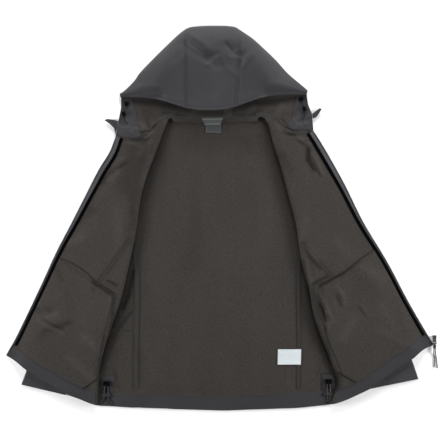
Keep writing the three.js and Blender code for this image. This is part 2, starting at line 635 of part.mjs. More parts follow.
// Trim on the fronts. The zip's tape runs along the edge with a black binding inside it, down to the hem's
// facing. The pocket bag reaches to the binding and the facing.
const bags = {
  L: [[-404, -98], [-368, -114], [-335, -137], [-320, -154], [-272, -184], [-276, -215], [-294, -290],
    [-306, -350], [-312, -440], [-640, -520], [-640, -98]],
  R: [[380, -78], [347, -101], [307, -133], [291, -141], [244, -168], [240, -200], [250, -250], [266, -300],
    [288, -350], [300, -380], [302, -420], [290, -460], [640, -520], [640, -78]],
};
const pocketTapes = {
  L: [[-226, -48], [-322, -177]],
  R: [[200, -58], [286, -155]],
};
function tapeWidth(i, count) {
  return 12 - 7 * smoothstep(0.1, 0.6, i / count);
}
function unevenBand(line, near, far) {
  const moved = (distance) => line.map((_, i) => moveLine(line, distance(i))[i]);
  return [...moved(near), ...moved(far).reverse()];
}
for (const side of ["L", "R"]) {
  const panel = fronts[side];
  const { zip, hem, front } = panel;
  const sign = front.inward;
  const last = zip.length - 1;
  const tapeOutline = unevenBand(zip, () => 0, (i) => sign * (tapeWidth(i, last) - SEAM));
  const bindingFar = (i) => sign * (tapeWidth(i, last) + ZIP_BINDING);
  const bindingOutline = unevenBand(zip, (i) => sign * tapeWidth(i, last), bindingFar);
  const edgeZone = prism(unevenBand(zip, () => -sign * 60, (i) => bindingFar(i) + sign * SEAM), -9, 99);
  const [corner, next] = hem;
  const past = [0, 1].map((k) => corner[k] + 8 * (corner[k] - next[k]));
  const hemLine = [past, ...hem];
  const hemZone = prism(band(hemLine, -sign * 60, sign * (HEM_FACING + SEAM)), -9, 99);
  const bagClear = prism(bags[side], -9, 99);
  const inside = prism(panel.outline, -9, 99);
  const tape = patchOn(panel, tapeOutline).intersect(inside).subtract(hemZone);
  addPiece("zip_tape_" + side, largest(tape), greyTape);
  const binding = patchOn(panel, bindingOutline).intersect(inside).subtract(hemZone);
  addPiece("zip_binding_" + side, largest(binding), blackTrim);
  const facing = patchOn(panel, band(hemLine, sign * 0.5, sign * HEM_FACING)).intersect(inside);
  addPiece("hem_facing_front_" + side, largest(facing), greyTape);
  const bag = patchOn(panel, bags[side]).intersect(inside).subtract(edgeZone).subtract(hemZone);
  addPiece("pocket_bag_" + side, largest(bag), liningCloth);
  const pocketTape = patchOn(panel, band(pocketTapes[side], -6, 6)).subtract(bagClear);
  addPiece("pocket_tape_" + side, largest(pocketTape), liningCloth);
}

// Hard pieces. A block is a box with bevelled edges, turned about Z.
function block(x, y, bottom, { width, length, height }, turn = 0) {
  const bevel = 0.8;
  const shape = new THREE.Shape();
  const [w, l] = [width / 2 - bevel, length / 2 - bevel];
  shape.moveTo(-w, -l);
  shape.lineTo(w, -l);
  shape.lineTo(w, l);
  shape.lineTo(-w, l);
  const geometry = new THREE.ExtrudeGeometry(shape, {
    depth: height - 2 * bevel,
    bevelThickness: bevel,
    bevelSize: bevel,
    bevelSegments: 1,
  });
  geometry.rotateZ(turn);
  geometry.translate(x, y, bottom + bevel);
  return solidOf(geometry);
}
function tube(points, radius, steps, sides = 8) {
  const curve = new THREE.CatmullRomCurve3(points.map((p) => new THREE.Vector3(...p)), false, "centripetal");
  const shape = new THREE.Shape();
  for (let i = 0; i < sides; i++) {
    const angle = (2 * Math.PI * i) / sides;
    const [x, y] = [radius * Math.cos(angle), radius * Math.sin(angle)];
    if (i === 0) shape.moveTo(x, y);
    else shape.lineTo(x, y);
  }
  const geometry = new THREE.ExtrudeGeometry(shape, { steps, extrudePath: curve, bevelEnabled: false });
  return solidOf(geometry);
}

// Hem drawcord units: a patch with an eyelet block, two cords through a lock bar, and free tails.
const onFacing = WALL + SEAM + TRIM + SEAM;
const cordRest = onFacing + CORD_RADIUS;
const hemUnits = {
  L: {
    patch: [[-300, -395], [-300, -432], [-270, -433], [-268, -394]],
    eyelet: [-287, -411],
    lock: [-288, -441],
    cords: [
      [[-290, -417.2, 5.6], [-291.5, -423, 4.9], [-293, -432, 4.7], [-293, -441, 4.9], [-294, -449, 4.6],
        [-298, -455, cordRest], [-302, -459, cordRest]],
      [[-284, -417.2, 5.6], [-283, -423, 4.9], [-283, -432, 4.7], [-283, -441, 4.9], [-282, -449, 4.6],
        [-278, -456, cordRest], [-272, -461, cordRest]],
    ],
  },
  R: {
    patch: [[251, -390], [252, -424], [284, -424], [281, -391]],
    eyelet: [267, -406],
    lock: [266.5, -438],
    cords: [
      [[264, -412.2, 5.6], [263.5, -418, 4.9], [264, -428, 4.7], [264, -438, 4.9], [264.5, -445, 4.6],
        [265, -451, cordRest], [262, -458, cordRest]],
      [[270, -412.2, 5.6], [271, -418, 4.9], [272, -428, 4.7], [272, -438, 4.9], [272, -444, 4.7],
        [270.5, -452, cordRest], [269, -459, cordRest]],
    ],
  },
};
const HEM_LOCK = { width: 23, length: 6, height: 4.4 };
const HEM_EYELET = { width: 16, length: 11, height: 4.6 };
for (const side of ["L", "R"]) {
  const unit = hemUnits[side];
  addPiece("hem_patch_" + side, onBack(unit.patch), greyTape);
  addPiece("hem_eyelet_" + side, block(...unit.eyelet, onFacing, HEM_EYELET), blackPlastic);
  const holes = unit.cords.map((path) => tube(path, CORD_RADIUS + SEAM, 10));
  const lock = block(...unit.lock, onFacing, HEM_LOCK);
  addPiece("hem_lock_" + side, lock.subtract(holes[0]).subtract(holes[1]), blackPlastic);
  unit.cords.forEach((path, i) => {
    addPiece("hem_cord_" + side + "_" + (i + 1), tube(path, CORD_RADIUS, 10), blackTrim);
  });
}

// Hood drawcord: an eyelet ring on the facing, and a cord through a small lock.
const hoodUnits = {
  L: {
    eyelet: [-237, 287],
    lock: [-244, 262],
    turn: 0.3,
    path: [[-239, 280], [-242, 272], [-244, 262], [-244, 252], [-240, 243], [-233, 238]],
  },
  R: {
    eyelet: [199, 299],
    lock: [207, 274],
    turn: 0.3,
    path: [[201, 292], [204.5, 284], [207, 274], [208, 264], [206, 254], [200, 247]],
  },
};
const HOOD_LOCK = { width: 9, length: 11, height: 6 };
const EYELET = { top: 5.5, foot: 6.2, height: 1.6, bore: 2.4, above: 0.4 };
for (const side of ["L", "R"]) {
  const unit = hoodUnits[side];
  const seat = (x, y) => topOf(hoodFacing[side], x, y) + SEAM;
  const ring = new THREE.CylinderGeometry(EYELET.top, EYELET.foot, EYELET.height, 16);
  ring.rotateX(Math.PI / 2);
  const bore = new THREE.CylinderGeometry(EYELET.bore, EYELET.bore, 4, 12);
  bore.rotateX(Math.PI / 2);
  const [ex, ey] = unit.eyelet;
  const high = seat(ex, ey) + EYELET.above + EYELET.height / 2;
  ring.translate(ex, ey, high);
  bore.translate(ex, ey, high);
  addPiece("hood_eyelet_" + side, solidOf(ring).subtract(solidOf(bore)), blackPlastic);
  const path = unit.path.map(([x, y], i) => [x, y, seat(x, y) + CORD_RADIUS + (i === 2 ? 1.6 : 0.9)]);
  const [lx, ly] = unit.lock;
  const lock = block(lx, ly, seat(lx, ly) + 0.5, HOOD_LOCK, unit.turn);
  addPiece("hood_lock_" + side, lock.subtract(tube(path, CORD_RADIUS + SEAM, 10)), blackPlastic);
  addPiece("hood_cord_" + side, tube(path, CORD_RADIUS, 10), blackTrim);
}

// Zip slider at the foot of the right front's zip, its pull tab on a pin across its end, and the two cord
// ends.
const SLIDER = { x: 531.5, y: -299, width: 10, length: 16, height: 8, bottom: 0.4 };
const PIN = { x: 531.5, y: -310.6, z: 6.2, radius: 1.1 };
const BARREL = { outer: 2.2, inner: 1.4, width: 4 };
const TAB = { start: 3.4, length: 10, width: 7.5, thickness: 2 };
const CHEEK = { away: 3.6, width: 2, height: 3.6, below: 1.8 };
function alongX(radius, length, x, y, z) {
  const geometry = new THREE.CylinderGeometry(radius, radius, length, 16);
  geometry.rotateZ(Math.PI / 2);
  geometry.translate(x, y, z);
  return solidOf(geometry);
}
const sliderEnd = SLIDER.y - SLIDER.length / 2;
const cheekLength = sliderEnd - PIN.y + 3.5;
function cheekAt(dx) {
  const size = { width: CHEEK.width, length: cheekLength, height: CHEEK.height };
  return block(PIN.x + dx, sliderEnd + 2 - cheekLength / 2, PIN.z - CHEEK.below, size);
}
const sliderBody = block(SLIDER.x, SLIDER.y, SLIDER.bottom, SLIDER);
const pin = alongX(PIN.radius, 7, PIN.x, PIN.y, PIN.z);
const cheeks = cheekAt(-CHEEK.away).add(cheekAt(CHEEK.away));
addPiece("zip_slider", sliderBody.add(cheeks).add(pin), darkMetal);
const barrel = alongX(BARREL.outer, BARREL.width, PIN.x, PIN.y, PIN.z);
const barrelBore = alongX(BARREL.inner, BARREL.width + 4, PIN.x, PIN.y, PIN.z);
const tabLow = PIN.z - TAB.thickness / 2;
const neckSize = { width: BARREL.width, length: 5, height: TAB.thickness };
const plateSize = { width: TAB.width, length: TAB.length, height: TAB.thickness };
const tabNeck = block(PIN.x, PIN.y - 3.2, tabLow, neckSize);
const tabPlate = block(PIN.x, PIN.y - TAB.start - TAB.length / 2, tabLow, plateSize);
addPiece("zip_pull", barrel.add(tabNeck).add(tabPlate).subtract(barrelBore), darkMetal);
const cordStart = PIN.y - TAB.start - TAB.length - SEAM;
const pullCords = [
  [[529.8, cordStart, 6.2], [530, cordStart - 6, 5.4], [530.5, cordStart - 14, 2.6],
    [531.5, cordStart - 24, 1.5], [531.5, cordStart - 36, 1.5], [531, cordStart - 47, 1.5]],
  [[533.2, cordStart, 6.2], [533.6, cordStart - 6, 5.4], [534.5, cordStart - 14, 2.6],
    [536.5, cordStart - 24, 1.5], [538, cordStart - 36, 1.5], [539.5, cordStart - 49, 1.5]],
];
pullCords.forEach((path, i) => {
  addPiece("pull_cord_" + (i + 1), tube(path, CORD_RADIUS, 12), blackTrim);
});

export default jacket;
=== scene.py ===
import math
from functools import partial

import bpy
import numpy as np
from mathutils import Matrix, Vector
from mathutils.bvhtree import BVHTree
from mathutils.geometry import delaunay_2d_cdt


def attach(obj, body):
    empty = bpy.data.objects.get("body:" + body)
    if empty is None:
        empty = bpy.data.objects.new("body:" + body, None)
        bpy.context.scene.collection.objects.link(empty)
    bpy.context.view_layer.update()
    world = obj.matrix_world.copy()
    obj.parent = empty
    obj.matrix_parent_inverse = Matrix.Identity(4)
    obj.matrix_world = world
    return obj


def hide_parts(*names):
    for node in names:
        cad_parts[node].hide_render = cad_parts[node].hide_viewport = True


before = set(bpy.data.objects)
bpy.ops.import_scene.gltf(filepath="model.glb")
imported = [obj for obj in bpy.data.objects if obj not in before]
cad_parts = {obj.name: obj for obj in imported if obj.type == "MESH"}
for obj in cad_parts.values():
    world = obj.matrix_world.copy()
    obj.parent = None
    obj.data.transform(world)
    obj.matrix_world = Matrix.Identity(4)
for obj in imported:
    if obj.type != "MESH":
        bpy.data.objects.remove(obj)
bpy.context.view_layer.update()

scene = bpy.context.scene

# Table, light and camera. The jacket lies on a white table between two soft lights, with a third
# beyond the hood and a weak narrow one towards the hem, and is seen from above by a long lens.
TABLE_WHITE = 0.7
TABLE_SIZE, TABLE_TOP = 9, -0.0004
ROOM_LIGHT = 0.1
CAMERA_AT = (0.0045, -0.012, 3.097)
bpy.ops.object.select_all(action="DESELECT")
bpy.ops.mesh.primitive_plane_add(size=TABLE_SIZE, location=(0, 0, TABLE_TOP))
bpy.ops.object.transform_apply(location=True)
table = bpy.context.object
table.name = "table"
table_paint = bpy.data.materials.new("table_white")
table_paint.use_nodes = True
paint = table_paint.node_tree.nodes["Principled BSDF"].inputs
paint["Base Color"].default_value = (TABLE_WHITE, TABLE_WHITE, TABLE_WHITE, 1)
paint["Roughness"].default_value = 0.9
table.data.materials.append(table_paint)

world = bpy.data.worlds.new("room")
scene.world = world
world.use_nodes = True
room = world.node_tree.nodes["Background"].inputs
room["Color"].default_value = (1, 1, 1, 1)
room["Strength"].default_value = ROOM_LIGHT


def softbox(name, place, size, watts, spread=180):
    """A square soft light that faces the jacket."""
    lamp = bpy.data.lights.new(name, "AREA")
    lamp.shape, lamp.size, lamp.energy, lamp.spread = "SQUARE", size, watts, math.radians(spread)
    light = bpy.data.objects.new(name, lamp)
    light.location = place
    light.rotation_euler = (-Vector(place)).to_track_quat("-Z", "Y").to_euler()
    scene.collection.objects.link(light)


softbox("light_left", (-1.8, 0.0, 0.72), 0.5, 46)
softbox("light_right", (1.8, 0.1, 0.72), 0.5, 46)
softbox("light_beyond_hood", (0.15, 2.2, 0.9), 0.6, 74)
softbox("light_above", (0.05, -1.1, 1.9), 0.7, 4, 80)
scene.view_settings.view_transform = "Standard"
scene.view_settings.look = "None"

camera_data = bpy.data.cameras.new("camera")
camera_data.lens, camera_data.sensor_width = 100, 36
camera = bpy.data.objects.new("camera", camera_data)
camera.location = CAMERA_AT
scene.collection.objects.link(camera)
scene.camera = camera

# Drawcords at the hem, at the hood and on the zip's pull. They are round braided polyester,
# 2.4 mm thick, threaded through their locks, with ends that are cut hot.
CORD_RADIUS = 1.2
PAGE_SHIFT = (0.75, -1.4, 0.0)


def page(points):
    """Metres in the row's frame, from millimetres on the page that the jacket is laid out on."""
    return (np.asarray(points, float) + PAGE_SHIFT) / 1000


def curve_at(points, t):
    """The points at t, from 0 to 1, of a centripetal curve through the given ones."""
    p = np.asarray(points, float)
    p = np.vstack([2 * p[0] - p[1], p, 2 * p[-1] - p[-2]])
    t = np.clip(np.asarray(t, float), 0, 1) * (len(p) - 3)
    i = np.minimum(t.astype(int), len(p) - 4)
    w = (t - i)[:, None]
    a, b, c, d = p[i], p[i + 1], p[i + 2], p[i + 3]

    def root(start, end):
        return np.maximum(np.linalg.norm(end - start, axis=1), 1e-9)[:, None] ** 0.5

    ab, bc, cd = root(a, b), root(b, c), root(c, d)
    m = ((b - a) / ab - (c - a) / (ab + bc) + (c - b) / bc) * bc
    n = ((c - b) / bc - (d - b) / (bc + cd) + (d - c) / cd) * bc
    return b + w * m + w**2 * (3 * c - 3 * b - 2 * m - n) + w**3 * (2 * b - 2 * c + m + n)


def spaced(points, count):
    """count + 1 evenly spaced points on a line."""
    p = np.asarray(points, float)
    run = np.concatenate([[0], np.cumsum(np.linalg.norm(np.diff(p, axis=0), axis=1))])
    at = np.linspace(0, run[-1], count + 1)
    return np.stack([np.interp(at, run, p[:, k]) for k in range(p.shape[1])], axis=1)


def smooth_line(points, count):
    """A smooth curve through the given points, as count + 1 evenly spaced ones."""
    return spaced(curve_at(points, np.linspace(0, 1, 600)), count)


def mesh_piece(name, points, faces, finish, uv=None, painted_shading=None):
    """A new smooth mesh object from points in metres. It can carry painted shading: painted shade in creases,
    beside folds and under things, and painted highlight on crests.
    """
    mesh = bpy.data.meshes.new(name)
    mesh.from_pydata([tuple(p) for p in points], [], [tuple(int(i) for i in f) for f in faces])
    mesh.polygons.foreach_set("use_smooth", [True] * len(mesh.polygons))
    if uv is not None:
        layer = mesh.uv_layers.new(name="UVMap")
        corners = np.zeros(len(mesh.loops), dtype=np.int32)
        mesh.loops.foreach_get("vertex_index", corners)
        layer.data.foreach_set("uv", np.asarray(uv, float)[corners].ravel())
    if painted_shading is not None:
        mesh.attributes.new("painted_shading", "FLOAT", "POINT").data.foreach_set("value", np.asarray(painted_shading, float))
    mesh.materials.append(finish)
    mesh.update()
    piece = bpy.data.objects.new(name, mesh)
    scene.collection.objects.link(piece)
    return piece


def new_finish(name, colour, roughness, metallic=0.0, sheen=0.0, gloss=0.5):
    """A material with its node tree, its shader and its output of object coordinates."""
    finish = bpy.data.materials.new(name)
    finish.use_nodes = True
    shader = finish.node_tree.nodes["Principled BSDF"]
    shader.inputs["Base Color"].default_value = (*colour, 1)
    shader.inputs["Roughness"].default_value = roughness
    shader.inputs["Metallic"].default_value = metallic
    shader.inputs["Specular IOR Level"].default_value = gloss
    shader.inputs["Sheen Weight"].default_value = sheen
    shader.inputs["Sheen Roughness"].default_value = 0.5
    coordinates = finish.node_tree.nodes.new("ShaderNodeTexCoord")
    return finish, finish.node_tree, shader, coordinates


def rgb(red, green, blue):
    """A linear colour from the values seen on a screen."""
    return tuple(v / 255 / 12.92 if v <= 10 else ((v / 255 + 0.055) / 1.055) ** 2.4
                 for v in (red, green, blue))


def mapped(tree, vector, scale, turn=0.0):
    """Coordinates that are scaled, and turned about Z."""
    node = tree.nodes.new("ShaderNodeMapping")
    node.inputs["Scale"].default_value = scale
    node.inputs["Rotation"].default_value = (0, 0, turn)
    tree.links.new(vector, node.inputs["Vector"])
    return node.outputs["Vector"]


def waves(tree, vector, scale, across, distortion=0.0):
    node = tree.nodes.new("ShaderNodeTexWave")
    node.bands_direction = across
    node.inputs["Scale"].default_value = scale
    node.inputs["Distortion"].default_value = distortion
    tree.links.new(vector, node.inputs["Vector"])
    return node.outputs["Fac"]


def sum_of(tree, first, second, share):
    """first + second * share."""
    node = tree.nodes.new("ShaderNodeMath")
    node.operation = "MULTIPLY_ADD"
    node.inputs[1].default_value = share
    tree.links.new(second, node.inputs[0])
    tree.links.new(first, node.inputs[2])
    return node.outputs[0]


def tones(tree, value, low, high, dark, light):
    """Colours from dark at low to light at high."""
    node = tree.nodes.new("ShaderNodeValToRGB")
    node.color_ramp.elements[0].position, node.color_ramp.elements[1].position = low, high
    node.color_ramp.elements[0].color, node.color_ramp.elements[1].color = (*dark, 1), (*light, 1)
    tree.links.new(value, node.inputs["Fac"])
    return node.outputs["Color"]


def relief(tree, shader, height, distance, strength=1.0):
    node = tree.nodes.new("ShaderNodeBump")
    node.inputs["Strength"].default_value = strength
    node.inputs["Distance"].default_value = distance
    tree.links.new(height, node.inputs["Height"])
    tree.links.new(node.outputs["Normal"], shader.inputs["Normal"])


def braid_finish(name, dark, light):
    """Braid: bands of yarn that wind round the cord both ways."""
    finish, tree, shader, coordinates = new_finish(name, dark, 0.7, gloss=0.1)
    wound = [waves(tree, mapped(tree, coordinates.outputs["UV"], (1, 1, 1), turn), 5, "X")
             for turn in (0.7, -0.7)]
    both = sum_of(tree, *wound, 1.0)
    tree.links.new(tones(tree, both, 0.3, 1.6, dark, light), shader.inputs["Base Color"])
    relief(tree, shader, both, 0.0002)
    return finish


black_braid = braid_finish("black_braid", rgb(3, 3, 3), rgb(36, 36, 39))
grey_braid = braid_finish("grey_braid", rgb(18, 18, 19), rgb(66, 66, 69))


def declare(piece, slot, *nodes, body="root"):
    """Gives a piece its body and hides the solids that it stands for. Its slot is not used."""
    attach(piece, body)
    if nodes:
        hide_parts(*nodes)
    return piece


def unit(vectors):
    """Rows of vectors, each made one long."""
    return vectors / np.linalg.norm(vectors, axis=1)[:, None]


def length_of(line):
    return np.linalg.norm(np.diff(line, axis=0), axis=1).sum()


def tube_faces(rings, sides):
    """Faces between rings of points that follow one another along a tube."""
    return [(low + k, low + (k + 1) % sides, low + sides + (k + 1) % sides, low + sides + k)
            for low in range(0, rings * sides, sides) for k in range(sides)]


def cord_piece(name, route, finish):
    """A braided round cord along a route in millimetres, and the points of its middle line."""
    length = length_of(curve_at(route, np.linspace(0, 1, 300)))
    rings, sides = int(length / 0.7), 16
    line = smooth_line(route, rings)
    along = unit(np.gradient(line, axis=0))
    across = unit(np.cross(along, (0, 0, 1.0)))
    upward = np.cross(across, along)
    turn = np.linspace(0, 2 * math.pi, sides, endpoint=False)
    run = np.linspace(0, length, rings + 1)
    end = np.minimum(run, length - run)
    tip = np.sqrt(np.clip(1 - (1 - np.clip(end / 0.8, 0, 1)) ** 2, 0.12, 1))
    plait = np.cos(2 * turn[None] + run[:, None] * 2.2) * np.cos(2 * turn[None] - run[:, None] * 2.2)
    radius = CORD_RADIUS * tip[:, None] * (0.97 + 0.05 * plait)
    points = (line[:, None] + across[:, None] * (np.cos(turn)[None] * radius)[..., None]
              + upward[:, None] * (np.sin(turn)[None] * radius)[..., None]).reshape(-1, 3)
    faces = tube_faces(rings, sides)
    faces += [tuple(range(sides))[::-1], tuple(rings * sides + k for k in range(sides))]
    uv = np.stack(np.broadcast_arrays(turn[None] / (2 * math.pi), run[:, None] / 7.5), axis=-1).reshape(-1, 2)
    piece = mesh_piece(name, page(points), faces, finish, uv)
    return piece, page(line), length / 1000


HEM_CORDS = {
    "hem_cord_L_1": [
        (-290, -417.2, 5.6), (-291.5, -423, 4.9), (-293, -432, 4.7), (-293, -441, 4.9), (-294, -449, 4.6),
        (-298, -455, 4.3), (-302, -459, 4.3)],
    "hem_cord_L_2": [
        (-284, -417.2, 5.6), (-283, -423, 4.9), (-283, -432, 4.7), (-283, -441, 4.9), (-282, -449, 4.6),
        (-278, -456, 4.3), (-272, -461, 4.3)],
    "hem_cord_R_1": [
        (264, -412.2, 5.6), (263.5, -418, 4.9), (264, -428, 4.7), (264, -438, 4.9), (264.5, -445, 4.6),
        (265, -451, 4.3), (262, -458, 4.3)],
    "hem_cord_R_2": [
        (270, -412.2, 5.6), (271, -418, 4.9), (272, -428, 4.7), (272, -438, 4.9), (272, -444, 4.7),
        (270.5, -452, 4.3), (269, -459, 4.3)],
}
HOOD_CORDS = {
    "hood_cord_L": [
        (-239, 280, 5.3), (-242, 272, 5.3), (-244, 262, 6.3), (-244, 252, 6.2), (-240, 243, 6.7),
        (-233, 238, 7.2)],
    "hood_cord_R": [
        (201, 292, 5.6), (204.5, 284, 5.7), (207, 274, 6.6), (208, 264, 6.7), (206, 254, 7.9),
        (200, 247, 8.8)],
}
PULL_CORDS = {
    "pull_cord_1": [
        (529.8, -324.3, 6.2), (530, -330.3, 5.4), (530.5, -338.3, 2.6), (531.5, -348.3, 1.5),
        (531.5, -360.3, 1.5), (531, -371.3, 1.5)],
    "pull_cord_2": [
        (533.2, -324.3, 6.2), (533.6, -330.3, 5.4), (534.5, -338.3, 2.6), (536.5, -348.3, 1.5),
        (538, -360.3, 1.5), (539.5, -373.3, 1.5)],
}
for cords, finish, body, far_end in ((HEM_CORDS, grey_braid, "root", "bare"),
                                     (HOOD_CORDS, black_braid, "root", "object"),
                                     (PULL_CORDS, black_braid, "pull", "bare")):
    for name, route in cords.items():
        piece, line, length = cord_piece(name + "_braid", route, finish)
        declare(piece, "cord", name, body=body)

